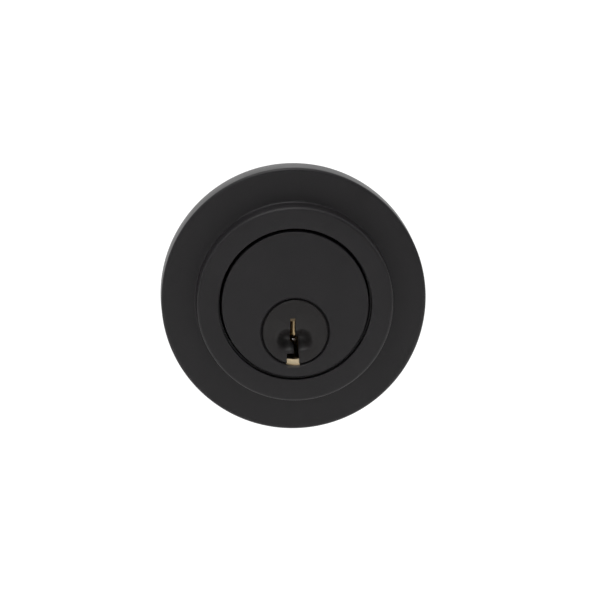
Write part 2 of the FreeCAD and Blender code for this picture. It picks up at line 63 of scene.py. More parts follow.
roseLow, roseHigh = (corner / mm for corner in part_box("exterior_rose"))
doorLow = roseHigh.y
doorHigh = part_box("mounting_plate")[0].y / mm
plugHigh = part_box("plug")[1] / mm
turnLow, turnHigh = (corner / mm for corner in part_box("thumbturn_knob"))
joints = {joint["name"]: joint for joint in frame["joints"]}
axisZ = joints["plug_turn"]["pos_m"][2] / mm  # plug, tailpiece, cam and thumbturn turn on it
boltY = joints["cam_turn"]["pos_m"][1] / mm
frontY = roseLow.y
axisAt = (0.0, axisZ)


# shapes: all take millimetres and give an object at the origin

def newObject(name, mesh):
    piece = bpy.data.objects.new(name, mesh)
    bpy.context.scene.collection.objects.link(piece)
    return piece


def meshFrom(name, points, faces):
    mesh = bpy.data.meshes.new(name)
    mesh.from_pydata([Vector(point) * mm for point in points], [], faces)
    mesh.validate()
    return newObject(name, mesh)


def tidy(piece, angle=32.0, merge=0.0005):
    shape = bmesh.new()
    shape.from_mesh(piece.data)
    bmesh.ops.remove_doubles(shape, verts=shape.verts, dist=merge * mm)
    bmesh.ops.recalc_face_normals(shape, faces=shape.faces)
    shape.to_mesh(piece.data)
    shape.free()
    piece.data.shade_smooth()
    piece.data.set_sharp_from_angle(angle=math.radians(angle))
    return piece


def rounded(corners, steps=4, closed=True):
    outline = []
    count = len(corners)
    for index, corner in enumerate(corners):
        here = Vector(corner[:2])
        radius = corner[2] if len(corner) > 2 else 0.0
        atEnd = not closed and index in (0, count - 1)
        if radius == 0 or atEnd:
            outline.append(here)
            continue
        back = Vector(corners[index - 1][:2]) - here
        ahead = Vector(corners[(index + 1) % count][:2]) - here
        half = back.angle(ahead) / 2
        cut = min(radius / math.tan(half), back.length * 0.49, ahead.length * 0.49)
        radius = cut * math.tan(half)
        middle = here + (back.normalized() + ahead.normalized()).normalized() * (radius / math.sin(half))
        first = here + back.normalized() * cut - middle
        last = here + ahead.normalized() * cut - middle
        sweep = first.angle(last)
        for step in range(steps + 1):
            share = step / steps
            turned = first * math.sin((1 - share) * sweep) + last * math.sin(share * sweep)
            outline.append(middle + turned / math.sin(sweep))
    return outline


def lathe(name, corners, centre=(0.0, 0.0), steps=144, roundSteps=4):
    # corners are (radius, y, corner radius), turned about a line along Y
    profile = rounded(corners, roundSteps)
    points = []
    faces = []
    rows = len(profile)
    for step in range(steps):
        angle = math.tau * step / steps
        for radius, y in profile:
            points.append((centre[0] + radius * math.cos(angle), y, centre[1] + radius * math.sin(angle)))
    for step in range(steps):
        ahead = (step + 1) % steps
        for row in range(rows):
            up = (row + 1) % rows
            if max(profile[row][0], profile[up][0]) < 1e-6:
                continue
            faces.append((step * rows + row, step * rows + up, ahead * rows + up, ahead * rows + row))
    return tidy(meshFrom(name, points, faces))


def slab(name, outline, low, high, axis="Y", bevel=0.0, bevelSteps=3):
    # outline is a list of (a, b) corners in the plane across the axis
    place = {
        "X": lambda a, b, h: (h, a, b),
        "Y": lambda a, b, h: (a, h, b),
        "Z": lambda a, b, h: (a, b, h),
    }[axis]
    count = len(outline)
    points = [place(a, b, low) for a, b in outline] + [place(a, b, high) for a, b in outline]
    faces = [tuple(range(count)), tuple(range(2 * count - 1, count - 1, -1))]
    for index in range(count):
        ahead = (index + 1) % count
        faces.append((index, ahead, count + ahead, count + index))
    piece = tidy(meshFrom(name, points, faces))
    if bevel:
        soften(piece, bevel, bevelSteps)
    return piece


def soften(piece, width, steps=3, angle=40.0):
    edge = piece.modifiers.new("edge", "BEVEL")
    edge.width = width * mm
    edge.segments = steps
    edge.limit_method = "ANGLE"
    edge.angle_limit = math.radians(angle)
    applied(piece)
    return tidy(piece)


def applied(piece):
    graph = bpy.context.evaluated_depsgraph_get()
    mesh = bpy.data.meshes.new_from_object(piece.evaluated_get(graph))
    piece.modifiers.clear()
    piece.data = mesh
    return piece


def combine(piece, tool, way="DIFFERENCE"):
    step = piece.modifiers.new("combine", "BOOLEAN")
    step.operation = way
    step.solver = "EXACT"
    step.object = tool
    bpy.context.view_layer.update()
    applied(piece)
    bpy.data.objects.remove(tool)
    return tidy(piece)


def skin(name, points, rows, around, angle=32.0, ends=True, merge=0.0005):
    # rows of points that close on themselves, joined by quads, with or without end faces
    faces = []
    for row in range(rows - 1):
        first = row * around
        for step in range(around):
            ahead = (step + 1) % around
            faces.append((first + step, first + ahead, first + around + ahead, first + around + step))
    if ends:
        faces.append(tuple(range(around)))
        faces.append(tuple(range((rows - 1) * around, rows * around)))
    return tidy(meshFrom(name, points, faces), angle, merge)


def ring(name, inner, outer, low, high, edges=(0.0, 0.0, 0.0, 0.0), centre=(0.0, 0.0), steps=96):
    # edges are the roundings at inner low, outer low, outer high and inner high
    corners = zip(((inner, low), (outer, low), (outer, high), (inner, high)), edges)
    return lathe(name, [corner + (edge,) for corner, edge in corners], centre, steps)


def peg(name, radius, low, high, axis="Y", place=(0.0, 0.0), steps=64, edge=0.0):
    # a plain round bar; place is its two other coordinates in X, Y, Z order
    corners = [(0, low), (radius, low, edge), (radius, high, edge), (0, high)]
    if axis == "Y":
        return lathe(name, corners, place, steps)
    piece = lathe(name, corners, steps=steps)
    if axis == "X":
        return laid(piece, "+X", (0, *place))
    return laid(piece, "+Z", (*place, 0))


def bored(piece, radius, low, high, axis, place, steps=64):
    return combine(piece, peg("hole", radius, low, high, axis, place, steps))


def laid(piece, way, place=(0.0, 0.0, 0.0)):
    # a piece made along +Y is turned to point another way and moved to its place
    turns = {"+Y": (0, "Z"), "-Y": (180, "Z"), "+X": (-90, "Z"), "-X": (90, "Z"), "+Z": (90, "X")}
    angle, axis = turns[way]
    piece.data.transform(Matrix.Rotation(math.radians(angle), 4, axis))
    piece.data.transform(Matrix.Translation(Vector(place) * mm))
    return piece


def threaded(name, radius, low, high, pitch, depth, tip=0.0, steps=36):
    # bar along Y with a helical groove, running out to a point over the length of its tip
    rows = int((high - low) / pitch * 6) + 2
    points = []
    for row in range(rows):
        along = low + (high - low) * row / (rows - 1)
        fade = max(0.0, min(1.0, (along - low) / pitch, (high - along) / pitch))
        narrow = min(1.0, 0.12 + 0.88 * (high - along) / tip) if tip else 1.0
        for step in range(steps):
            turn = math.tau * step / steps
            phase = ((along - low) / pitch - step / steps) % 1.0
            reach = radius * narrow - depth * fade * abs(2 * phase - 1)
            reach = max(reach, 0.1)
            points.append((reach * math.cos(turn), along, reach * math.sin(turn)))
    return skin(name, points, rows, steps, 50.0)


def screw(name, shape):
    # countersunk cross-head screw along +Y, the face of its head at the origin
    head, shank = shape["head"], shape["shank"]
    depth = head - shank
    top = lathe("head", [
        (0, 0), (head - 0.1, 0, 0.05), (head, 0.12, 0.05),
        (shank, depth, 0.15), (shank, depth + 0.4), (0, depth + 0.4),
    ], steps=72)
    reach = head * 0.55
    half = head * 0.14
    cross = []
    for across, along in ((1, 0), (0, 1), (-1, 0), (0, -1)):
        for a, b in ((-half, -reach), (half, -reach), (half, -half)):
            cross.append((across * a - along * b, along * a + across * b))
    top = combine(top, slab("recess", cross, -0.3, depth * 0.62))
    cut = shank * 0.26
    shaft = threaded("shaft", shank, depth + 0.2, shape["length"], shape["pitch"], cut, shape["tip"])
    return together(name, [top, shaft])


def sunkHole(radius, sink, low, high, centre=(0.0, 0.0), steps=64):
    # cutter for a countersunk hole along Y, widest at its high end
    end = (sink + 0.1, high + 0.1)
    corners = [(0, low), (radius, low), (radius, high - (sink - radius)), end, (0, end[1])]
    return lathe("sunk", corners, centre, steps)


def stadium(width, height, middle=(0.0, 0.0), steps=24):
    # upright outline with half-round ends
    radius = width / 2
    straight = height / 2 - radius
    outline = []
    for side in (1, -1):
        for step in range(steps + 1):
            turn = math.pi * (step / steps + (side < 0))
            across, up = radius * math.cos(turn), radius * math.sin(turn)
            outline.append((middle[0] + across, middle[1] + side * straight + up))
    return outline


def disc(radius, middle=(0.0, 0.0), steps=96):
    turns = [math.tau * step / steps for step in range(steps)]
    return [(middle[0] + radius * math.cos(turn), middle[1] + radius * math.sin(turn)) for turn in turns]


def openRing(name, shape, low, high):
    # flat clip round the axis of the plug, open below; prongs are (angle, half angle) that reach in
    gap = math.degrees(math.asin(shape["gap"] / shape["outer"]))
    first = -90 + gap
    sweep = 360 - 2 * gap
    count = 120
    outer = []
    inner = []
    for step in range(count + 1):
        angle = first + sweep * step / count
        turn = math.radians(angle)
        near = any(abs((angle - middle + 180) % 360 - 180) <= half for middle, half in shape["prongs"])
        reach = shape["inner"] if near or not shape["prongs"] else shape["relief"]
        outer.append((shape["outer"] * math.cos(turn), axisZ + shape["outer"] * math.sin(turn)))
        inner.append((reach * math.cos(turn), axisZ + reach * math.sin(turn)))
    return slab(name, outer + inner[::-1], low, high, "Y", 0.07, 2)


def together(name, parts):
    shape = bmesh.new()
    for part in parts:
        shape.from_mesh(part.data)
        bpy.data.objects.remove(part)
    mesh = bpy.data.meshes.new(name)
    shape.to_mesh(mesh)
    shape.free()
    piece = newObject(name, mesh)
    return tidy(piece, merge=0.0)


def screwPair(name, shape, y, x):
    return together(name, [laid(screw("screw", shape), "-Y", (side, y, 0)) for side in (-x, x)])


def place(piece, body, slot, node=None, material=None):
    piece.data.materials.clear()
    piece.data.materials.append(material or finishes[slot])
    if node:
        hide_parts(node)
    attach(piece, body)


# finishes

def nodeMaterial(name):
    material = bpy.data.materials.new(name)
    material.use_nodes = True
    tree = material.node_tree
    shader = tree.nodes["Principled BSDF"]
    return material, tree, shader


def feed(tree, node, inputs):
    for key, value in inputs.items():
        if isinstance(value, bpy.types.NodeSocket):
            tree.links.new(value, node.inputs[key])
        else:
            node.inputs[key].default_value = value


def addNode(tree, kind, inputs=None, **settings):
    node = tree.nodes.new(kind)
    for key, value in settings.items():
        setattr(node, key, value)
    feed(tree, node, inputs or {})
    return node


def objectPlace(tree):
    return addNode(tree, "ShaderNodeTexCoord").outputs["Object"]


def noiseAt(tree, where, scale, detail=3.0, roughness=0.5):
    inputs = {"Vector": where, "Scale": scale, "Detail": detail, "Roughness": roughness}
    return addNode(tree, "ShaderNodeTexNoise", inputs).outputs["Fac"]


def ramp(tree, value, low, high, lowTo, highTo):
    inputs = {"Value": value, "From Min": low, "From Max": high, "To Min": lowTo, "To Max": highTo}
    return addNode(tree, "ShaderNodeMapRange", inputs).outputs["Result"]


def mixColours(tree, share, first, second):
    inputs = {"Factor": share, 6: first, 7: second}
    return addNode(tree, "ShaderNodeMix", inputs, data_type="RGBA").outputs[2]


def mathNode(tree, operation, first, second=None):
    inputs = {0: first} if second is None else {0: first, 1: second}
    return addNode(tree, "ShaderNodeMath", inputs, operation=operation).outputs[0]


def vectorNode(tree, operation, first, second=None):
    inputs = {0: first} if second is None else {0: first, 1: second}
    return addNode(tree, "ShaderNodeVectorMath", inputs, operation=operation)


def blend(tree, fine, broad):
    fineShare = mathNode(tree, "MULTIPLY", fine, 0.6)
    return mathNode(tree, "ADD", fineShare, mathNode(tree, "MULTIPLY", broad, 0.4))


def bumpFrom(tree, height, strength, distance):
    inputs = {"Height": height, "Strength": strength, "Distance": distance}
    return addNode(tree, "ShaderNodeBump", inputs).outputs["Normal"]


blackCoat = {
    "colour": (0.0124, 0.0116, 0.0126),
    "worn": (0.0180, 0.0168, 0.0182),
    "roughness": (0.36, 0.46),
    "grain": 3600.0,  # bumps to the metre
    "bump": 0.20,
    "gloss": 0.19,
}


def warmer(colour, warm):
    return tuple(channel * (1 + warm * shift) for channel, shift in zip(colour, (1, 0.4, -1))) + (1.0,)


def coatColour(tree, where, warm=0.0):
    fine = noiseAt(tree, where, blackCoat["grain"], 4.0, 0.62)
    broad = noiseAt(tree, where, 90.0, 3.0)
    share = ramp(tree, blend(tree, fine, broad), 0.35, 0.75, 0.0, 1.0)
    colour = mixColours(tree, share, warmer(blackCoat["colour"], warm), warmer(blackCoat["worn"], warm))
    return colour, fine, ramp(tree, broad, 0.3, 0.7, *blackCoat["roughness"])


def finishCoat(tree, shader, colour, matt, fine):
    relief = bumpFrom(tree, fine, blackCoat["bump"], 0.00004)
    feed(tree, shader, {"Base Color": colour, "Roughness": matt, "Normal": relief})
    feed(tree, shader, {"Specular IOR Level": blackCoat["gloss"]})


def makeBlackCoat(name):
    material, tree, shader = nodeMaterial(name)
    colour, fine, matt = coatColour(tree, objectPlace(tree))
    finishCoat(tree, shader, colour, matt, fine)
    return material


def makeSteel(name, colour, roughness, brush=(1.0, 1.0, 1.0), grain=2600.0, bump=0.12, stain=0.12):
    material, tree, shader = nodeMaterial(name)
    where = addNode(tree, "ShaderNodeMapping", {"Vector": objectPlace(tree), "Scale": brush})
    fine = noiseAt(tree, where.outputs["Vector"], grain, 3.0, 0.6)
    broad = noiseAt(tree, objectPlace(tree), 140.0, 4.0)
    dark = tuple(channel * (1 - stain) for channel in colour) + (1.0,)
    mixed = mixColours(tree, ramp(tree, broad, 0.35, 0.68, 0.0, 1.0), colour + (1.0,), dark)
    matt = ramp(tree, blend(tree, fine, broad), 0.3, 0.7, *roughness)
    normal = bumpFrom(tree, fine, bump, 0.00003)
    feed(tree, shader, {"Base Color": mixed, "Metallic": 1.0, "Roughness": matt, "Normal": normal})
    return material


def makePlain(name, colour, roughness):
    material, tree, shader = nodeMaterial(name)
    where = objectPlace(tree)
    fine = noiseAt(tree, where, 2400.0, 4.0)
    broad = noiseAt(tree, where, 160.0, 3.0)
    dark = tuple(channel * 0.82 for channel in colour) + (1.0,)
    mixed = mixColours(tree, ramp(tree, broad, 0.3, 0.7, 0.0, 1.0), colour + (1.0,), dark)
    matt = ramp(tree, fine, 0.3, 0.7, *roughness)
    relief = bumpFrom(tree, fine, 0.2, 0.00004)
    feed(tree, shader, {"Base Color": mixed, "Roughness": matt, "Normal": relief})
    return material


def insideBox(tree, where, middle, half, soft):
    # 1 inside a box given in millimetres, falling to 0 across its soft edge
    moved = vectorNode(tree, "SUBTRACT", where, Vector(middle) * mm).outputs[0]
    flipped = vectorNode(tree, "ABSOLUTE", moved).outputs[0]
    past = vectorNode(tree, "SUBTRACT", flipped, Vector(half) * mm).outputs[0]
    split = addNode(tree, "ShaderNodeSeparateXYZ", {"Vector": past}).outputs
    most = mathNode(tree, "MAXIMUM", split["X"], mathNode(tree, "MAXIMUM", split["Y"], split["Z"]))
    return ramp(tree, most, -soft * mm, soft * mm, 1.0, 0.0)


def nearSpot(tree, where, middle, half):
    # 1 in the middle of an egg-shaped spot in millimetres, fading to 0 at its edge
    moved = vectorNode(tree, "SUBTRACT", where, Vector(middle) * mm).outputs[0]
    scaled = vectorNode(tree, "MULTIPLY", moved, Vector([1.0 / (side * mm) for side in half])).outputs[0]
    return ramp(tree, vectorNode(tree, "LENGTH", scaled).outputs["Value"], 0.55, 1.05, 1.0, 0.0)


def makeCoatedBrass(name, coatDepth, brassColour, skirt=0.0, bare=(), dark=(), warm=0.0):
    # coated on the outward end and past the skirt radius, brass in the bare boxes, and darkened with painted shade
    # in the dark spots
    material, tree, shader = nodeMaterial(name)
    where = objectPlace(tree)
    split = addNode(tree, "ShaderNodeSeparateXYZ", {"Vector": where})
    ragged = noiseAt(tree, where, 2500.0, 2.0)
    edge = mathNode(tree, "ADD", split.outputs["Y"], ramp(tree, ragged, 0.3, 0.7, -0.00006, 0.00006))
    limit = (frontY + coatDepth) * mm
    coated = ramp(tree, edge, limit - 0.00008, limit + 0.00008, 1.0, 0.0)
    if skirt:
        flat = addNode(tree, "ShaderNodeCombineXYZ", {"X": split.outputs["X"], "Z": split.outputs["Z"]})
        reach = vectorNode(tree, "LENGTH", flat.outputs["Vector"]).outputs["Value"]
        outer = mathNode(tree, "GREATER_THAN", reach, skirt * mm)
        coated = mathNode(tree, "MAXIMUM", coated, outer)
    for middle, half, soft, share in bare:
        gone = mathNode(tree, "MULTIPLY", insideBox(tree, where, middle, half, soft), share)
        coated = mathNode(tree, "MULTIPLY", coated, mathNode(tree, "SUBTRACT", 1.0, gone))
    black, fine, matt = coatColour(tree, where, warm)
    # painted shade: near-black mixed into the coat in each dark spot, where the dishes and the keyway lie in shade
    for middle, half, share in dark:
        paintedShade = mathNode(tree, "MULTIPLY", nearSpot(tree, where, middle, half), share)
        black = mixColours(tree, paintedShade, black, (0.0012, 0.0012, 0.0010, 1.0))
    broad = noiseAt(tree, where, 300.0, 3.0)
    aged = tuple(channel * 0.74 for channel in brassColour)
    brass = mixColours(tree, ramp(tree, broad, 0.35, 0.7, 0.0, 1.0), brassColour + (1.0,), aged + (1.0,))
    rough = {"Factor": coated, 2: ramp(tree, fine, 0.3, 0.7, 0.34, 0.48), 3: matt}
    mixedRough = addNode(tree, "ShaderNodeMix", rough, data_type="FLOAT").outputs[0]
    feed(tree, shader, {"Metallic": mathNode(tree, "SUBTRACT", 1.0, coated)})
    finishCoat(tree, shader, mixColours(tree, coated, brass, black), mixedRough, fine)
    return material


keywayWearAndShade = {
    # bare boxes: middle, half sizes, soft edge, share; the foot is the step that the key's edge rubs
    "foot": ((-0.5, frontY + 1.3, axisZ - 7.0), (1.5, 1.0, 0.70), 0.05, 1.0),
    "below": ((-0.4, frontY, axisZ - 7.90), (1.3, 0.6, 0.16), 0.22, 0.07),
    "topEnd": ((-0.55, frontY + 0.62, axisZ + 2.85), (0.62, 0.35, 0.5), 0.05, 0.5),
    # dark spots of painted shade, standing in for the shade in the finger dishes and down the keyway: middle, half
    # sizes, share
    "dishLeft": ((-1.75, frontY + 0.3, axisZ - 1.9), (2.2, 1.9, 2.0), 0.92),
    "dishRight": ((1.45, frontY + 0.3, axisZ - 1.85), (2.2, 1.9, 1.95), 0.88),
    "slot": ((-0.2, frontY + 1.0, axisZ - 3.6), (1.1, 2.4, 2.6), 0.95),
}
# bare wear boxes for the cylinder and plug, and the painted shade spots for the plug's dishes and keyway
worn = {
    "cylinder": [keywayWearAndShade["foot"], keywayWearAndShade["below"]],
    "plug": [keywayWearAndShade["topEnd"]],
    "paintedShade": [keywayWearAndShade[name] for name in ("dishLeft", "dishRight", "slot")],
}
finishes = {
    "black_coat": makeBlackCoat("mattBlackCoat"),
    "cylinder_black": makeCoatedBrass("coatedCylinder", 2.7, (0.66, 0.54, 0.36), 15.5, worn["cylinder"]),
    "plug_black": makeCoatedBrass(
        "coatedPlug", 2.45, (0.26, 0.19, 0.105), 0.0, worn["plug"], worn["paintedShade"], 0.05
    ),
    "brass": makeSteel("machinedBrass", (0.72, 0.53, 0.26), (0.22, 0.36), (1.0, 1.0, 6.0)),
    "hard_steel": makeSteel("groundSteel", (0.36, 0.36, 0.37), (0.28, 0.42), (0.08, 1.0, 1.0), 5200.0),
    "zinc_steel": makeSteel(
        "zincPlate", (0.64, 0.65, 0.68), (0.24, 0.42), grain=1800.0, bump=0.10, stain=0.2
    ),
    "spring_steel": makeSteel("springSteel", (0.50, 0.50, 0.52), (0.22, 0.34)),
    "black_oxide": makeSteel("blackOxide", (0.018, 0.018, 0.019), (0.38, 0.52)),
    "rubber": makePlain("mattRubber", (0.018, 0.018, 0.018), (0.7, 0.9)),
    "nylon": makePlain("naturalNylon", (0.74, 0.72, 0.66), (0.36, 0.5)),
}
slotOf = {row["node"]: row["material_slot"] for row in frame["record"]["subparts"]}
for node, shape in frame["nodes"].items():
    shape.data.materials.clear()
    shape.data.materials.append(finishes[slotOf[node]])
print("finishes made:", len(finishes))


# the outside: rose with its collar

roseShape = {
    "thickness": 7.8,  # of the flat disc
    "rim": 0.85,  # rounding at the disc's edge
    "collar": 22.1,
    "collarEdge": 0.75,
    "collarFoot": 0.55,
    "mouth": 17.27,  # hole that the cylinder fills
    "mouthEdge": 0.2,
    "lip": 2.5,  # depth of the mouth before the casting opens out
    "groove": (27.3, 28.7, 0.9),  # for the seal: inner, outer, depth
    "recess": (19.6, 26.0, 2.4),  # behind the disc, for the torque plate
    "screwX": 22.4,
    "screwHole": (1.4, 5.8),  # radius and depth
}


def makeRose(shape):
    face = doorLow - shape["thickness"]
    lip = frontY + shape["lip"]
    mouth, collar, rim = shape["mouth"], shape["collar"], roseHigh.x
    grooveIn, grooveOut, depth = shape["groove"]
    grooveTop = doorLow - depth
    recessIn, recessOut, depth = shape["recess"]
    recessTop = doorLow - depth
    rose = lathe("roseCasting", [
        (mouth, frontY, shape["mouthEdge"]), (collar, frontY, shape["collarEdge"]),
        (collar, face, shape["collarFoot"]), (rim, face, shape["rim"]), (rim, doorLow, 0.15),
        (grooveOut, doorLow, 0.1), (grooveOut, grooveTop), (grooveIn, grooveTop), (grooveIn, doorLow, 0.1),
        (recessOut, doorLow, 0.1), (recessOut, recessTop, 0.3), (recessIn, recessTop, 0.2),
        (recessIn, lip, 0.2), (mouth, lip, 0.1),
    ], steps=256, roundSteps=6)
    radius, depth = shape["screwHole"]
    for x in (-shape["screwX"], shape["screwX"]):
        rose = bored(rose, radius, doorLow - depth, doorLow, "Y", (x, 0), 32)
    return rose


place(makeRose(roseShape), "lock_body", "black_coat", "exterior_rose")

sealShape = {"inner": 27.38, "outer": 28.62, "depth": 0.88, "lip": 0.3}


def makeSeal(shape):
    low = doorLow - shape["depth"]
    return ring("sealRing", shape["inner"], shape["outer"], low, doorLow, (shape["lip"],) * 4, steps=192)


place(makeSeal(sealShape), "lock_body", "rubber", "rose_seal")
print("rose made")


# lock cylinder, plug and key pins

cylinderShape = {
    "radius": 16.55,
    "edge": 0.28,
    "flange": (19.4, -4.6, -2.4),  # radius, front and back
    "bore": 6.4,
    "counterbore": 7.65,
    "counterDepth": 1.2,
    "leadIn": 0.28,
    "chamber": 1.5,
    "chamberTop": 14.6,
    "slotHalf": 2.55,
}
pinYs = [sum(span("y", f"driver_pin_{index}")) / 2 for index in range(1, 6)]
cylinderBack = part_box("cylinder_body")[1].y / mm


def makeCylinder(shape):
    radius = shape["radius"]
    flange, flangeFront, flangeBack = shape["flange"]
    body = lathe("cylinderBody", [
        (0, frontY), (radius, frontY, shape["edge"]), (radius, flangeFront, 0.15),
        (flange, flangeFront, 0.25), (flange, flangeBack, 0.25), (radius, flangeBack, 0.15),
        (radius, cylinderBack, 0.35), (0, cylinderBack),
    ], steps=224)
    counter, bore = shape["counterbore"], shape["bore"]
    lead = counter + shape["leadIn"]
    floor = frontY + shape["counterDepth"]
    hollow = lathe("hollow", [
        (0, frontY - 1), (lead + 0.6, frontY - 0.6), (counter, frontY + shape["leadIn"], 0.15),
        (counter, floor, 0.1), (bore, floor, 0.1), (bore, cylinderBack + 1), (0, cylinderBack + 1),
    ], axisAt, 192)
    body = combine(body, hollow)
    for y in pinYs:
        body = bored(body, shape["chamber"], axisZ, shape["chamberTop"] + 0.5, "Z", (0.0, y), 40)
    half = shape["slotHalf"]
    front = pinYs[0] - 3.0
    outline = [(-half, front), (half, front), (half, cylinderBack + 1), (-half, cylinderBack + 1)]
    return combine(body, slab("slot", outline, shape["chamberTop"], 20.0, "Z"))


place(makeCylinder(cylinderShape), "lock_body", "cylinder_black", "cylinder_body")

coverShape = {"half": 2.5, "thickness": 1.7, "edge": 0.12}


def makeCover(shape):
    front = pinYs[0] - 2.9
    outline = [(-shape["half"], front), (shape["half"], front),
               (shape["half"], cylinderBack), (-shape["half"], cylinderBack)]
    top = cylinderShape["chamberTop"]
    return slab("chamberCover", outline, top, top + shape["thickness"], "Z", shape["edge"])


place(makeCover(coverShape), "lock_body", "cylinder_black", "chamber_cover")

plugShape = {
    "head": plugHigh.x,
    "headDepth": 1.1,
    "headEdge": 0.22,
    "radius": 6.35,
    "groove": (5.6, 0.2, 1.05),  # radius, and its two sides behind the cylinder
    "slotShift": -0.4,
    "slotTop": 2.45,
    "slotEnd": 11.0,
    "pinHole": (1.5, -2.6, 8.0),  # radius, and its ends from the plug's axis
    "socket": (5.2, 11.7),  # radius and floor of the hollow at the rear
    "topEnd": (3.1, 0.5),  # height and depth of the shallow run-out over the slot
    "dish": (2.15, 2.75),  # depth and half width of each finger hollow
    "dishX": (-1.75, 1.45),
    "dishZ": -1.75,
}


def keywayOutline(shape):
    # corners and their rounding, from the slot's own middle line and the plug's axis
    shift = shape["slotShift"]
    top = shape["slotTop"]
    rows = [
        (-0.75, top, 0.12), (0.45, top, 0.12), (0.45, -0.9, 0.2), (1.15, -1.6, 0.2), (1.15, -4.9, 0.1),
        (1.3, -5.3, 0.1), (1.3, -9.0), (-1.5, -9.0), (-1.5, -4.9, 0.15), (0.05, -4.9, 0.15),
        (0.05, -3.0, 0.2), (-0.75, -2.2, 0.2),
    ]
    corners = [(x + shift, axisZ + z) + tuple(rest) for x, z, *rest in rows]
    return [tuple(point) for point in rounded(corners, 3)]


def makePlug(shape):
    back = plugHigh.y
    ledge = frontY + shape["headDepth"]
    head, radius = shape["head"], shape["radius"]
    groove, grooveFront, grooveBack = shape["groove"]
    grooveFront, grooveBack = cylinderBack + grooveFront, cylinderBack + grooveBack
    plug = lathe("plugCore", [
        (0, frontY), (head, frontY, shape["headEdge"]), (head, ledge, 0.1), (radius, ledge, 0.1),
        (radius, grooveFront), (groove, grooveFront), (groove, grooveBack), (radius, grooveBack),
        (radius, back, 0.25), (0, back),
    ], axisAt, 192)
    plug = combine(plug, slab("keyway", keywayOutline(shape), frontY - 1, shape["slotEnd"]))
    topZ, topDepth = shape["topEnd"]
    shift = shape["slotShift"]
    runOut = [(x + shift, axisZ + z) for x, z in ((-0.75, 2.2), (0.45, 2.2), (0.45, topZ), (-0.75, topZ))]
    plug = combine(plug, slab("runOut", runOut, frontY - 1, frontY + topDepth))
    depth, half = shape["dish"]
    for x in shape["dishX"]:
        profile = [(0, frontY - 1), (half + 0.1, frontY - 1), (half, frontY - 0.02)]
        for step in range(14, -1, -1):
            share = step / 15
            profile.append((half * share, frontY - 0.02 + depth * (1 - share**2) ** 1.6))
        plug = combine(plug, lathe("hollow", profile, (x, axisZ + shape["dishZ"]), 72))
    radius, low, high = shape["pinHole"]
    for y in pinYs:
        plug = bored(plug, radius, axisZ + low, axisZ + high, "Z", (0.0, y), 40)
    radius, floor = shape["socket"]
    return bored(plug, radius, floor, back + 1, "Y", axisAt, 96)


place(makePlug(plugShape), "plug", "plug_black", "plug")

lugShape = {"inner": 4.15, "outer": 5.3, "front": 11.6, "back": 13.7, "angle": -45.0, "half": 15.0}


def makeLug(shape):
    # driving lug in the plug's rear socket, a segment of a ring
    outline = []
    for radius, way in ((shape["inner"], 1), (shape["outer"], -1)):
        for step in range(13):
            turn = math.radians(shape["angle"] + way * shape["half"] * (step / 6 - 1))
            outline.append((radius * math.sin(turn), axisZ + radius * math.cos(turn)))
    return slab("plugLug", outline, shape["front"], shape["back"])


place(makeLug(lugShape), "plug", "plug_black")

keyPinShape = {"radius": 1.42, "lengths": (8.7, 5.9, 6.7, 5.4, 6.2), "tip": 1.0, "point": 0.45}


def makeKeyPins(shape):
    top = axisZ + 6.15
    pins = []
    for y, length in zip(pinYs, shape["lengths"]):
        foot = top - length
        pin = lathe("pin", [
            (0, foot), (shape["point"], foot, 0.2), (shape["radius"], foot + shape["tip"], 0.25),
            (shape["radius"], top, 0.3), (0, top),
        ], steps=48)
        pins.append(laid(pin, "+Z", (0, y, 0)))
    return together("keyPins", pins)


dullBrass = makeSteel("dullBrass", (0.50, 0.38, 0.22), (0.26, 0.40))
place(makeKeyPins(keyPinShape), "plug", "brass", "key_pins", dullBrass)
print("cylinder and plug made")


# pin stacks

driverShape = {"radius": 1.42, "waist": 1.05, "land": 1.35, "length": 5.0}
springShape = {"coil": 1.12, "wire": 0.17, "turns": 7.5, "stepsToTurn": 22, "sides": 8}
chamberTop = cylinderShape["chamberTop"]


def makeDriver(name, shape, y, foot):
    land, top = shape["land"], foot + shape["length"]
    radius, waist, taper = shape["radius"], shape["waist"], land + 0.15
    pin = lathe(name, [
        (0, foot), (radius, foot, 0.22), (radius, foot + land, 0.1), (waist, foot + taper),
        (waist, top - taper), (radius, top - land, 0.1), (radius, top, 0.3), (0, top),
    ], steps=48)
    return laid(pin, "+Z", (0, y, 0))


def makeCoil(name, shape, y, low, high):
    wire = shape["wire"]
    count = int(shape["turns"] * shape["stepsToTurn"])
    sides = shape["sides"]
    points = []
    for step in range(count + 1):
        turn = math.tau * step / shape["stepsToTurn"]
        share = step / count
        height = low + wire + (high - low - 2 * wire) * (share - 0.06 * math.sin(math.tau * share))
        for side in range(sides):
            roll = math.tau * side / sides
            reach = shape["coil"] + wire * math.cos(roll)
            z = height + wire * math.sin(roll)
            points.append((reach * math.cos(turn), y + reach * math.sin(turn), z))
    return skin(name, points, count + 1, sides, 60.0)


for index, y in enumerate(pinYs, 1):
    foot, top = span("z", f"driver_pin_{index}")
    pin = makeDriver(f"driverPin{index}", driverShape, y, foot)
    place(pin, f"driver_{index}", "hard_steel", f"driver_pin_{index}")
    coil = makeCoil(f"pinSpring{index}", springShape, y, top, chamberTop)
    place(coil, "lock_body", "spring_steel", f"pin_spring_{index}")
    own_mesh(coil)
print("pin stacks made")


# behind the rose: sleeve, clip, torque plate, posts and tailpiece

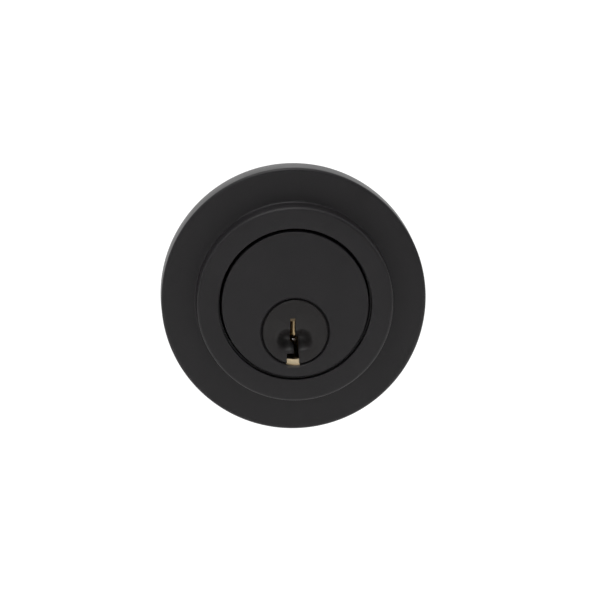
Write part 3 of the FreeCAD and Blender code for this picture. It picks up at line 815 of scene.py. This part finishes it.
guardShape = {"inner": 16.8, "outer": 19.5, "edge": 0.3}
clipShape = {"outer": 8.3, "inner": 5.65, "relief": 5.65, "gap": 4.2, "prongs": ()}
capShape = {"inner": 3.5, "outer": 6.3, "edge": 0.25}
torqueShape = {"radius": 25.8, "hole": 16.7, "edge": 0.22, "post": 2.95, "screw": 1.7, "sink": 3.1}
postShape = {"radius": 3.8, "neck": 2.9, "bore": 2.55, "edge": 0.5}
plateFront, plateBack = span("y", "torque_plate")
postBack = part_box("mounting_posts")[1].y / mm
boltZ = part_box("mounting_posts")[1].z / mm - postShape["radius"]
smallScrew = {"head": 3.05, "shank": 1.35, "length": 5.2, "pitch": 0.7, "tip": 1.0}


def makeGuard(shape):
    low, high = span("y", "guard_ring")
    return ring("guardSleeve", shape["inner"], shape["outer"], low, high, (shape["edge"],) * 4, steps=192)


def makeTorquePlate(shape):
    edges = (shape["edge"],) * 4
    plate = ring("torquePlate", shape["hole"], shape["radius"], plateFront, plateBack, edges, steps=160)
    for z in (-boltZ, boltZ):
        plate = bored(plate, shape["post"], plateFront - 1, plateBack + 1, "Y", (0, z), 48)
    for x in (-roseShape["screwX"], roseShape["screwX"]):
        hole = sunkHole(shape["screw"], shape["sink"], plateFront - 1, plateBack, (x, 0), 48)
        plate = combine(plate, hole)
    return plate


def makePosts(shape):
    posts = []
    neck, radius, bore = shape["neck"], shape["radius"], shape["bore"]
    for z in (-boltZ, boltZ):
        posts.append(lathe("post", [
            (0, plateFront), (neck, plateFront, 0.2), (neck, plateBack), (radius, plateBack, 0.2),
            (radius, postBack, shape["edge"]), (bore, postBack, 0.3), (bore, 0.5), (0, 0.5),
        ], (0, z), 64))
    return together("mountingPosts", posts)


def makeTailpiece(shape):
    low, high = (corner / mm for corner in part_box("tailpiece"))
    neck = low.y + shape["headLength"]
    piece = peg("tailBlade", shape["head"], low.y, neck, "Y", axisAt, 64, 0.15)
    half = shape["armHalf"]
    arm = []
    for radius, way in ((2.0, 1), (shape["armReach"], -1)):
        for step in range(9):
            turn = math.radians(way * half * (step / 4 - 1))
            arm.append((radius * math.cos(turn), axisZ + radius * math.sin(turn)))
    piece = combine(piece, slab("arm", arm, low.y + 0.1, neck - 0.1), "UNION")
    wide, thick = shape["width"] / 2, shape["thickness"] / 2
    blade = [(-thick, axisZ - wide), (thick, axisZ - wide), (thick, axisZ + wide), (-thick, axisZ + wide)]
    return combine(piece, slab("blade", blade, neck - 0.6, high.y, "Y", 0.18), "UNION")


tailpieceShape = {
    "head": 3.9,
    "headLength": 1.8,
    "armReach": 5.0,
    "armHalf": 12.0,
    "width": 6.0,
    "thickness": 1.6,
}

# lighter black oxide for the guard sleeve: painted light, lifting the shade in the narrow gap round the cylinder
shadeLiftedOxide = makeSteel("shadeLiftedOxide", (0.045, 0.045, 0.046), (0.40, 0.55))
place(makeGuard(guardShape), "lock_body", "black_oxide", "guard_ring", shadeLiftedOxide)
clipLow, clipHigh = span("y", "plug_clip")
place(openRing("plugClip", clipShape, clipLow, clipHigh), "plug", "spring_steel", "plug_clip")
capLow, capHigh = span("y", "tailpiece_cap")
capEdges = (0.1, 0.1, capShape["edge"], 0.15)
cap = ring("tailpieceCap", capShape["inner"], capShape["outer"], capLow, capHigh, capEdges, axisAt)
place(cap, "plug", "brass", "tailpiece_cap")
place(makeTorquePlate(torqueShape), "lock_body", "zinc_steel", "torque_plate")
place(makePosts(postShape), "lock_body", "zinc_steel", "mounting_posts")
retaining = screwPair("retainingScrews", smallScrew, plateBack, roseShape["screwX"])
place(retaining, "lock_body", "zinc_steel", "retaining_screws")
place(makeTailpiece(tailpieceShape), "tailpiece", "zinc_steel", "tailpiece")
print("works behind the rose made")


# bolt unit

boltShape = {
    "width": 15.8,
    "height": 22.0,
    "round": 11.62,
    "nose": 0.8,
    "rivet": (27.0, 5.2, 1.5),  # x, z and radius
    "pocket": (3.2, 31.0, 0.2, 10.2),  # half width, front, and its foot and top
    "roller": (3.25, 56.0),  # radius and end of the hole for the hard pin
}
boltRear, boltFront = span("x", "bolt_head")
tubeRear, tubeFront = span("x", "bolt_tube")
faceRear, faceFront = span("x", "faceplate")
backRear = span("x", "face_backplate")[0]


def boltOutline(shape, grow=0.0):
    # oblong with flat sides, flat top and foot, and round shoulders
    wide, tall, radius = shape["width"] / 2 + grow, shape["height"] / 2 + grow, shape["round"] + grow
    low = math.asin(math.sqrt(radius**2 - wide**2) / radius)
    high = math.asin(tall / radius)
    outline = []
    for quarter in range(4):
        for step in range(9):
            share = step / 8 if quarter % 2 == 0 else 1 - step / 8
            turn = low + (high - low) * share
            y, z = radius * math.cos(turn), radius * math.sin(turn)
            outline.append((boltY + y * (1, -1, -1, 1)[quarter], z * (1, 1, -1, -1)[quarter]))
    return outline


def brick(name, low, high):
    outline = [(low[0], low[2]), (high[0], low[2]), (high[0], high[2]), (low[0], high[2])]
    return slab(name, outline, low[1], high[1])


def makeBolt(shape):
    piece = slab("boltHead", boltOutline(shape), boltRear, boltFront, "X")
    soften(piece, shape["nose"], 4)
    half, front, foot, top = shape["pocket"]
    piece = combine(piece, brick("pocket", (boltRear - 1, boltY - half, foot), (front, boltY + half, top)))
    radius, end = shape["roller"]
    piece = bored(piece, radius, boltRear - 1, end, "X", (boltY, 0), 64)
    x, z, radius = shape["rivet"]
    return bored(piece, radius + 0.02, boltY - 9, boltY + 9, "Y", (x, z), 40)


tailShape = {
    "inner": 1.5,
    "outer": 3.1,
    "slot": 2.35,
    "tine": 2.5,
    "edge": 0.16,
    "bend": ((28.6, 3.6), (30.8, 9.9)),  # x and z where the two plates join
}


def makeTail(shape):
    slotX = -(joints["bolt_throw"]["range_m"][1] / mm) / 2
    half, tine = shape["slot"], shape["tine"]
    rear = slotX - half - tine
    outline = rounded([
        (rear, 0.4, 0.8), (30.0, 0.4, 0.2), (30.0, 10.0, 0.2), (slotX + half + tine + 2.0, 10.0, 1.0),
        (slotX + half + tine, 12.0, 1.0), (slotX + half, 12.0, 0.8), (slotX + half, 4.4, half),
        (slotX - half, 4.4, half), (slotX - half, 12.0, 0.8), (rear, 12.0, 1.0),
    ], 6)
    plates = []
    for low, high in ((-shape["outer"], -shape["inner"]), (shape["inner"], shape["outer"])):
        plates.append(slab("tine", outline, boltY + low, boltY + high))
    (rear, foot), (front, top) = shape["bend"]
    bend = brick("bend", (rear, boltY - shape["outer"], foot), (front, boltY + shape["outer"], top))
    piece = combine(plates[0], bend, "UNION")
    piece = combine(piece, plates[1], "UNION")
    piece.name = "boltTail"
    x, z, radius = boltShape["rivet"]
    piece = bored(piece, radius + 0.02, boltY - 9, boltY + 9, "Y", (x, z), 40)
    return soften(piece, shape["edge"], 2)


camShape = {"hub": 5.2, "journal": 4.4, "half": 1.2, "arm": (3.2, 2.4), "eye": 2.4, "pin": 1.5, "edge": 0.15}


def makeCam(shape):
    reach = joints["bolt_throw"]["range_m"][1] / mm / 2
    eye = (-reach, axisZ + reach)
    low, high = boltY - shape["half"], boltY + shape["half"]
    slope = math.sqrt(0.5)
    foot, end = (size * slope for size in shape["arm"])
    arm = [(-foot, axisZ - foot), (foot, axisZ + foot)]
    arm += [(eye[0] + end, eye[1] + end), (eye[0] - end, eye[1] - end)]
    journalLow, journalHigh = span("y", "cam")
    piece = combine(slab("cam", disc(shape["hub"], axisAt), low, high), slab("arm", arm, low, high), "UNION")
    piece = combine(piece, slab("eye", disc(shape["eye"], eye, 48), low, high), "UNION")
    piece = combine(piece, slab("journal", disc(shape["journal"], axisAt), journalLow, journalHigh), "UNION")
    piece = combine(piece, slab("hole", disc(shape["pin"] + 0.02, eye, 48), low - 1, high + 1))
    wide, thick = tailpieceShape["width"] / 2 + 0.25, tailpieceShape["thickness"] / 2 + 0.25
    piece = combine(piece, brick("slot", (-thick, low - 9, axisZ - wide), (thick, high + 9, axisZ + wide)))
    piece.name = "cam"
    return soften(piece, shape["edge"], 2)


caseShape = {
    "rear": -19.5,
    "front": 20.0,
    "foot": -11.4,
    "top": 10.4,
    "inner": 3.5,
    "outer": 4.7,
    "corner": 2.5,
    "edge": 0.22,
    "lipGap": 7.0,  # half the opening in the lower lips
    "camHole": 4.45,
    "rivetHole": 1.25,
}
rivetShape = {"shank": 1.23, "head": 2.1, "crown": (1.5, 0.5), "waist": 1.9}
caseRivets = ((-16.2, -7.6), (12.5, -7.6), (17.6, -3.6))


def makeCase(name, shape, side):
    rear, front, foot, top, corner = (shape[key] for key in ("rear", "front", "foot", "top", "corner"))
    near, far = sorted((boltY + side * shape["inner"], boltY + side * shape["outer"]))
    lipNear, lipFar = sorted((boltY, boltY + side * (shape["inner"] + 0.2)))
    thick = shape["outer"] - shape["inner"]
    outline = rounded([
        (rear, foot + corner, 0.8), (rear + corner, foot, 0.8), (front, foot, 0.3),
        (front, top, 0.3), (rear + corner, top, 0.8), (rear, top - corner, 0.8),
    ], 5)
    piece = slab(name, outline, near, far)
    for low, high in (
        ((rear + corner, lipNear, foot), (-shape["lipGap"], lipFar, foot + thick)),
        ((shape["lipGap"], lipNear, foot), (front, lipFar, foot + thick)),
        ((rear, lipNear, foot + corner), (rear + thick, lipFar, top - corner)),
    ):
        piece = combine(piece, brick("lip", low, high), "UNION")
    piece = combine(piece, slab("hole", disc(shape["camHole"], axisAt), near - 1, far + 1))
    for x, z in caseRivets:
        piece = combine(piece, slab("hole", disc(shape["rivetHole"], (x, z), 32), near - 1, far + 1))
    piece.name = name
    return soften(piece, shape["edge"], 2)


def makeCaseRivets(shape):
    rows = []
    wall, face = caseShape["inner"], caseShape["outer"]
    shank, (crown, rise) = shape["shank"], shape["crown"]
    for x, z in caseRivets:
        half = [(0, -face - rise), (crown, -face - rise, 0.4), (shape["head"], -face - 0.02, 0.1)]
        half += [(shank, -face), (shank, -wall), (shape["waist"], -wall)]
        profile = half + [(radius, -y, *rest) for radius, y, *rest in reversed(half)]
        rows.append(lathe("rivet", [(radius, boltY + y, *rest) for radius, y, *rest in profile], (x, z), 40))
    return together("caseRivets", rows)


camSpringPath = [
    (-14.3, -7.0), (-14.3, -10.1, 0.7), (-5.7, -10.1, 0.7), (-5.7, -6.9),
    (-6.1, -6.9), (-6.1, -9.7, 0.3), (-13.9, -9.7, 0.3), (-13.9, -7.0),
]
tubeShape = {"outer": 12.5, "bore": 11.7, "wall": 1.2, "shoulder": 1.0, "seam": 0.14}


def makeTube(shape):
    outer, bore, floor = shape["outer"], shape["bore"], tubeRear + shape["wall"]
    piece = laid(lathe("boltTube", [
        (0, tubeRear), (outer, tubeRear, shape["shoulder"]), (outer, tubeFront, 0.1),
        (bore, tubeFront, 0.1), (bore, floor, 0.5), (0, floor),
    ], steps=160), "+X", (0, boltY, 0))
    inside = tubeRear + 2
    piece = combine(piece, brick("slot", (tubeRear - 1, boltY - 3.5, 0.0), (inside, boltY + 3.5, 10.4)))
    half = shape["seam"]
    return combine(piece, brick("seam", (inside, boltY - half, -13.0), (tubeFront - 1, boltY + half, -12.3)))


faceShape = {
    "width": 28.6,
    "height": 57.0,
    "screws": 41.3,  # between the two screws
    "hole": 2.3,
    "sink": 4.1,
    "edge": 0.22,
    "backHole": 3.3,
    "room": 0.35,  # round the bolt
}


def makeFace(shape):
    outline = stadium(shape["width"], shape["height"], (boltY, 0.0), 40)
    piece = slab("faceplate", outline, faceRear, faceFront, "X", shape["edge"])
    opening = boltOutline(boltShape, shape["room"])
    piece = combine(piece, slab("hole", opening, faceRear - 1, faceFront + 1, "X"))
    for z in (-shape["screws"] / 2, shape["screws"] / 2):
        sunk = sunkHole(shape["hole"], shape["sink"], faceRear - 1, faceFront)
        piece = combine(piece, laid(sunk, "+X", (0, boltY, z)))
    return piece


def makeBackplate(shape):
    outline = stadium(shape["width"] - 1.0, shape["height"] - 1.0, (boltY, 0.0), 40)
    piece = slab("faceBackplate", outline, backRear, faceRear, "X", shape["edge"])
    piece = bored(piece, tubeShape["outer"] + 0.02, backRear - 1, faceRear + 1, "X", (boltY, 0), 128)
    for z in (-shape["screws"] / 2, shape["screws"] / 2):
        piece = bored(piece, shape["backHole"], backRear - 1, faceRear + 1, "X", (boltY, z), 64)
    return piece


woodScrew = {"head": 4.0, "shank": 2.0, "length": 22.0, "pitch": 1.7, "tip": 5.0}

place(makeBolt(boltShape), "bolt", "hard_steel", "bolt_head")
pinLow, pinHigh = span("x", "bolt_roller_pin")
roller = peg("rollerPin", 3.17, pinLow, pinHigh, "X", (boltY, 0), 64, 0.5)
place(roller, "roller_pin", "hard_steel", "bolt_roller_pin")
place(makeTail(tailShape), "bolt", "zinc_steel", "bolt_tail")
rivetX, rivetZ, rivetRadius = boltShape["rivet"]
rivet = peg("tailRivet", rivetRadius, boltY - 7.7, boltY + 7.7, "Y", (rivetX, rivetZ), 48, 0.4)
place(rivet, "bolt", "zinc_steel", "tail_rivet")
place(makeCam(camShape), "cam", "zinc_steel", "cam")
crankLow, crankHigh = (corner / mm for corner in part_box("crank_pin"))
crankAt = ((crankLow.x + crankHigh.x) / 2, (crankLow.z + crankHigh.z) / 2)
crank = peg("crankPin", camShape["pin"], crankLow.y, crankHigh.y, "Y", crankAt, 48, 0.3)
place(crank, "cam", "hard_steel", "crank_pin")
place(makeCase("caseFront", caseShape, -1), "lock_body", "zinc_steel", "case_front")
place(makeCase("caseRear", caseShape, 1), "lock_body", "zinc_steel", "case_rear")
place(makeCaseRivets(rivetShape), "lock_body", "zinc_steel", "case_rivets")
leaf = slab("camSpring", rounded(camSpringPath, 5), boltY - 2.6, boltY + 2.6, "Y", 0.06, 2)
place(leaf, "lock_body", "spring_steel", "cam_spring")
place(makeTube(tubeShape), "lock_body", "zinc_steel", "bolt_tube")
place(makeBackplate(faceShape), "lock_body", "zinc_steel", "face_backplate")
place(makeFace(faceShape), "lock_body", "black_coat", "faceplate")
rows = []
for z in (-faceShape["screws"] / 2, faceShape["screws"] / 2):
    rows.append(laid(screw("screw", woodScrew), "-X", (faceFront, boltY, z)))
place(together("faceplateScrews", rows), "lock_body", "black_oxide", "faceplate_screws")
print("bolt unit made")


# inside: plate, through bolts, rose and thumbturn

plateShape = {"radius": 27.9, "turnHole": 8.5, "boltHole": 2.7, "roseHole": 1.4, "roseX": 22.0, "edge": 0.25}
throughShape = {"shank": 2.5, "thread": 24.0, "pitch": 0.8, "head": 4.3, "height": 2.8, "socket": 1.5}
insideRose = {
    "wall": 1.8,
    "edge": 1.3,
    "boss": (9.0, 4.0),  # radius, and its end from the open side
    "smallBoss": 3.4,  # round each screw
    "bore": 6.6,
    "screwHole": 1.7,
    "sink": 3.2,
}
roseScrew = {"head": 3.1, "shank": 1.35, "length": 8.6, "pitch": 0.7, "tip": 1.0}
insideBack, insideFront = span("y", "interior_rose")
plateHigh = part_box("mounting_plate")[1].y / mm


def makeInsidePlate(shape):
    piece = peg("mountingPlate", shape["radius"], doorHigh, plateHigh, steps=160, edge=shape["edge"])
    holes = [(shape["turnHole"], 0.0, axisZ)]
    holes += [(shape["boltHole"], 0.0, z) for z in (-boltZ, boltZ)]
    holes += [(shape["roseHole"], x, 0.0) for x in (-shape["roseX"], shape["roseX"])]
    for radius, x, z in holes:
        piece = bored(piece, radius, doorHigh - 1, plateHigh + 1, "Y", (x, z), 64)
    return piece


def makeThroughBolts(shape):
    rows = []
    for z in (-boltZ, boltZ):
        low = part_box("through_bolts")[0].y / mm
        seat, top = plateHigh, plateHigh + shape["height"]
        radius = shape["head"]
        head = lathe("head", [(0, seat), (radius, seat, 0.15), (radius, top, 0.9), (0, top)], (0, z), 64)
        reach = shape["socket"] / math.cos(math.pi / 6)
        head = combine(head, slab("socket", disc(reach, (0, z), 6), top - 1.6, top + 0.3))
        end = low + shape["thread"]
        thread = laid(threaded("thread", shape["shank"], low, end, shape["pitch"], 0.4), "+Y", (0, 0, z))
        plain = peg("plain", shape["shank"] - 0.05, end - 0.1, seat + 0.2, "Y", (0, z), 48)
        rows.append(together("bolt", [head, thread, plain]))
    return together("throughBolts", rows)


def makeInsideRose(shape):
    inner = insideFront - shape["wall"] - 0.1
    piece = lathe("insideRose", [
        (0, insideFront), (roseHigh.x, insideFront, shape["edge"]), (roseHigh.x, insideBack, 0.2),
        (roseHigh.x - shape["wall"], insideBack, 0.1), (roseHigh.x - shape["wall"], inner, 0.6), (0, inner),
    ], steps=224, roundSteps=6)
    radius, end = shape["boss"]
    boss = peg("boss", radius, insideBack + end, inner + 0.3, "Y", axisAt, 96, 0.2)
    piece = combine(piece, boss, "UNION")
    sides = (-plateShape["roseX"], plateShape["roseX"])
    for x in sides:
        boss = peg("boss", shape["smallBoss"], plateHigh, inner + 0.3, "Y", (x, 0), 48)
        piece = combine(piece, boss, "UNION")
    piece = bored(piece, shape["bore"], insideBack - 1, insideFront + 1, "Y", axisAt, 96)
    for x in sides:
        hole = sunkHole(shape["screwHole"], shape["sink"], insideBack, insideFront, (x, 0), 48)
        piece = combine(piece, hole)
    piece.name = "insideRose"
    return piece


bushingShape = {"bore": 5.05, "sleeve": 6.55, "flange": 8.2, "lip": 0.6, "length": 3.5}
waveShape = {"inner": 5.35, "outer": 7.9, "thickness": 0.25, "wave": 0.2, "waves": 3}
eClip = {"outer": 7.2, "inner": 4.05, "relief": 5.4, "gap": 2.4, "prongs": ((90, 16), (195, 14), (-15, 14))}
spindleShape = {"radius": 5.0, "groove": (4.0, 0.7, 1.55), "slot": (1.1, 3.3), "slotEnd": 48.6}


def makeBushing(shape):
    bore, sleeve, flange = shape["bore"], shape["sleeve"], shape["flange"]
    low, high = insideFront - shape["length"], insideFront + shape["lip"]
    return lathe("turnBushing", [
        (bore, low, 0.15), (sleeve, low, 0.2), (sleeve, insideFront),
        (flange, insideFront, 0.05), (flange, high, 0.2), (bore, high, 0.1),
    ], axisAt, 96)


def makeWave(shape):
    low, high = span("y", "wave_washer")
    middle = (low + high) / 2
    points = []
    faces = []
    steps = 120
    half = shape["thickness"] / 2
    for step in range(steps):
        turn = math.tau * step / steps
        lift = shape["wave"] * math.sin(shape["waves"] * turn)
        inner, outer = shape["inner"], shape["outer"]
        for radius, side in ((inner, -half), (outer, -half), (outer, half), (inner, half)):
            points.append((radius * math.cos(turn), middle + lift + side, axisZ + radius * math.sin(turn)))
    for step in range(steps):
        ahead = (step + 1) % steps
        for row in range(4):
            up = (row + 1) % 4
            faces.append((4 * step + row, 4 * step + up, 4 * ahead + up, 4 * ahead + row))
    return tidy(meshFrom("waveWasher", points, faces))


def makeSpindle(shape):
    low, high = span("y", "thumbturn_spindle")
    radius = shape["radius"]
    groove, near, far = shape["groove"]
    piece = lathe("turnSpindle", [
        (0, low), (radius, low, 0.3), (radius, low + near, 0.05), (groove, low + near),
        (groove, low + far), (radius, low + far, 0.05), (radius, high, 0.4), (0, high),
    ], axisAt, 96)
    wide, tall = shape["slot"]
    slot = brick("slot", (-wide, low - 1, axisZ - tall), (wide, shape["slotEnd"], axisZ + tall))
    return combine(piece, slot)


knobShape = {
    "base": 11.0,
    "baseEnd": 4.6,
    "web": 0.7,  # left above the shaft
    "length": 34.0,
    "width": 8.0,
    "waist": (0.66, 0.80),  # length and width at the foot, as shares of the full ones
    "square": 3.2,  # higher is squarer across
    "edge": 1.7,
}


def makeKnob(shape):
    low, high = turnLow.y, turnHigh.y
    baseTop = low + shape["baseEnd"]
    base = lathe("turnBase", [
        (0, low), (shape["base"], low, 0.35), (shape["base"], baseTop - 0.9, 0.5),
        (shape["base"] - 1.4, baseTop, 0.5), (0, baseTop),
    ], axisAt, 128)
    heights = []
    rise = high - shape["edge"] - (baseTop - 0.6)
    for step in range(15):
        heights.append((baseTop - 0.6 + rise * step / 14, 0.0, step / 14))
    for step in range(1, 7):
        turn = math.pi / 2 * step / 6
        edge = shape["edge"]
        heights.append((high - edge * (1 - math.sin(turn)), edge * (1 - math.cos(turn)), 1.0))
    around = 128
    points = []
    for y, inset, share in heights:
        grow = 1 - (1 - min(1.0, share / 0.62)) ** 2
        tall = shape["length"] / 2 * (shape["waist"][0] + (1 - shape["waist"][0]) * grow) - inset
        wide = shape["width"] / 2 * (shape["waist"][1] + (1 - shape["waist"][1]) * grow) - inset
        for step in range(around):
            turn = math.tau * step / around
            across, up = math.cos(turn), math.sin(turn)
            power = 2 / shape["square"]
            x = math.copysign(abs(across) ** power, across) * wide
            z = math.copysign(abs(up) ** power, up) * tall
            points.append((x, y, axisZ + z))
    grip = skin("turnGrip", points, len(heights), around, 40.0)
    piece = combine(base, grip, "UNION")
    piece = bored(piece, spindleShape["radius"] + 0.02, low - 1, baseTop - shape["web"], "Y", axisAt, 96)
    piece.name = "thumbturn"
    return piece


place(makeInsidePlate(plateShape), "lock_body", "zinc_steel", "mounting_plate")
place(makeThroughBolts(throughShape), "lock_body", "zinc_steel", "through_bolts")
place(makeInsideRose(insideRose), "lock_body", "black_coat", "interior_rose")
insideScrews = screwPair("roseScrews", roseScrew, insideFront, plateShape["roseX"])
place(insideScrews, "lock_body", "black_oxide", "rose_screws")
place(makeBushing(bushingShape), "lock_body", "nylon", "turn_bushing")
place(makeWave(waveShape), "lock_body", "spring_steel", "wave_washer")
clipLow, clipHigh = span("y", "e_clip")
place(openRing("spindleClip", eClip, clipLow, clipHigh), "thumbturn", "spring_steel", "e_clip")
place(makeSpindle(spindleShape), "thumbturn", "zinc_steel", "thumbturn_spindle")
place(makeKnob(knobShape), "thumbturn", "black_coat", "thumbturn_knob")
print("inside half made")


# stage: pale floor, backdrop card, soft lights and camera

stageShape = {
    "floorBelow": 110.0,
    "floorReach": 2600.0,
    "card": 78.0,  # half the side of the white card behind the rose
    "cardSpare": 0.25,  # it stops this far past the faceplate, like a door's skin
    "cardHole": 28.8,  # the works pass through it, hidden by the rose
    "floorColour": (0.80, 0.80, 0.79, 1.0),
    "world": (0.36, 0.36, 0.365, 1.0),
    "cardLight": 1.12,
    "wallLight": 1.1,  # glow of the wall straight behind the lock
}


def makeFloor(shape):
    low = -shape["floorBelow"]
    reach = shape["floorReach"]
    profile = rounded([(1.0, low), (reach, low, 500.0), (reach, low + 900.0)], 10, False)
    points = []
    faces = []
    steps = 96
    for step in range(steps):
        angle = math.tau * step / steps
        across, along = math.cos(angle), math.sin(angle)
        points += [(radius * across, radius * along, height) for radius, height in profile]
    rows = len(profile)
    for step in range(steps):
        ahead = (step + 1) % steps
        for row in range(rows - 1):
            here, there = step * rows + row, ahead * rows + row
            faces.append((here, there, there + 1, here + 1))
    faces.append(tuple(step * rows for step in reversed(range(steps))))
    floor = meshFrom("floor", points, faces)
    floor.data.shade_smooth()
    material, tree, shader = nodeMaterial("paleFloor")
    pale = shape["floorColour"]
    feed(tree, shader, {"Roughness": 0.9, "Base Color": pale, "Emission Color": pale})
    parts = addNode(tree, "ShaderNodeSeparateXYZ", {0: objectPlace(tree)})
    farShare = ramp(tree, parts.outputs["Y"], 0.9, 1.5, 0.0, shape["wallLight"])
    sideways = mathNode(tree, "ABSOLUTE", parts.outputs["X"])
    lit = mathNode(tree, "MULTIPLY", farShare, ramp(tree, sideways, 0.55, 0.95, 1.0, 0.0))
    feed(tree, shader, {"Emission Strength": lit})
    floor.data.materials.append(material)
    return floor


def makeCard(shape):
    # flat square with a round hole, cut off at the faceplate
    half = shape["card"]
    cardY = doorLow + 0.15
    edge = span("x", "faceplate")[1] + shape["cardSpare"]
    points = []
    faces = []
    around = 96
    for step in range(around):
        turn = math.tau * step / around
        across, up = math.cos(turn), math.sin(turn)
        reach = half / max(abs(across), abs(up))
        for radius in (shape["cardHole"], reach):
            points.append((min(radius * across, edge), cardY, radius * up))
        ahead = (step + 1) % around
        faces.append((2 * step, 2 * step + 1, 2 * ahead + 1, 2 * ahead))
    card = meshFrom("card", points, faces)
    material = bpy.data.materials.new("whiteCard")
    material.use_nodes = True
    tree = material.node_tree
    tree.nodes.clear()
    glow = addNode(tree, "ShaderNodeEmission", {"Strength": shape["cardLight"]})
    output = tree.nodes.new("ShaderNodeOutputMaterial")
    tree.links.new(glow.outputs["Emission"], output.inputs["Surface"])
    card.data.materials.append(material)
    return card


def makeWorld(colour):
    world = bpy.data.worlds.new("studio")
    world.use_nodes = True
    world.node_tree.nodes["Background"].inputs["Color"].default_value = colour
    bpy.context.scene.world = world


lamps = {
    "overhead": {"at": (-100, 700, 900), "aim": (0, 0, 0), "size": 800, "power": 16.0},
    "top": {"at": (-120, -160, 800), "aim": (0, 0, 0), "size": 500, "power": 4.2},
    "front": {"at": (-300, -1100, 250), "aim": (0, 0, 0), "size": 900, "power": 1.3},
    "back": {"at": (300, 1000, 500), "aim": (0, 20, 0), "size": 900, "power": 14.0},
    "side": {"at": (1000, 760, 300), "aim": (0, 20, 0), "size": 700, "power": 8.0},
}


def makeLamps(rows):
    for name, row in rows.items():
        light = bpy.data.lights.new(name, "AREA")
        light.size = row["size"] * mm
        light.energy = row["power"]
        lamp = bpy.data.objects.new(name, light)
        bpy.context.scene.collection.objects.link(lamp)
        at = Vector(row["at"]) * mm
        lamp.location = at
        lamp.rotation_euler = (Vector(row["aim"]) * mm - at).to_track_quat("-Z", "Y").to_euler()


cameraShape = {
    "azimuth": -2.92,
    "elevation": 10.24,
    "distance": 1000.0,
    "frameWidth": 135.92,  # width of the picture at the rose
    "shiftRight": 1.47,  # the rose's middle stands left of the picture's
    "shiftUp": -0.42,
    "aim": (0.0, -6.5, 0.0),
}


def makeCamera(shape):
    azimuth = math.radians(shape["azimuth"])
    elevation = math.radians(shape["elevation"])
    level = math.cos(elevation)
    back = Vector((math.sin(azimuth) * level, -math.cos(azimuth) * level, math.sin(elevation)))
    right = Vector((math.cos(azimuth), math.sin(azimuth), 0))
    up = right.cross(-back)
    target = Vector(shape["aim"]) + right * shape["shiftRight"] + up * shape["shiftUp"]
    data = bpy.data.cameras.new("camera")
    data.sensor_width = 36.0
    data.lens = 36.0 * shape["distance"] / shape["frameWidth"]
    data.clip_start = 0.01
    data.clip_end = 20.0
    camera = bpy.data.objects.new("camera", data)
    camera.location = (target + back * shape["distance"]) * mm
    camera.rotation_mode = "QUATERNION"
    camera.rotation_quaternion = (-back).to_track_quat("-Z", "Y")
    bpy.context.scene.collection.objects.link(camera)
    bpy.context.scene.camera = camera


floor = makeFloor(stageShape)
card = makeCard(stageShape)
makeWorld(stageShape["world"])
makeLamps(lamps)
makeCamera(cameraShape)
bpy.context.scene.view_settings.view_transform = "Standard"
print("stage ready")
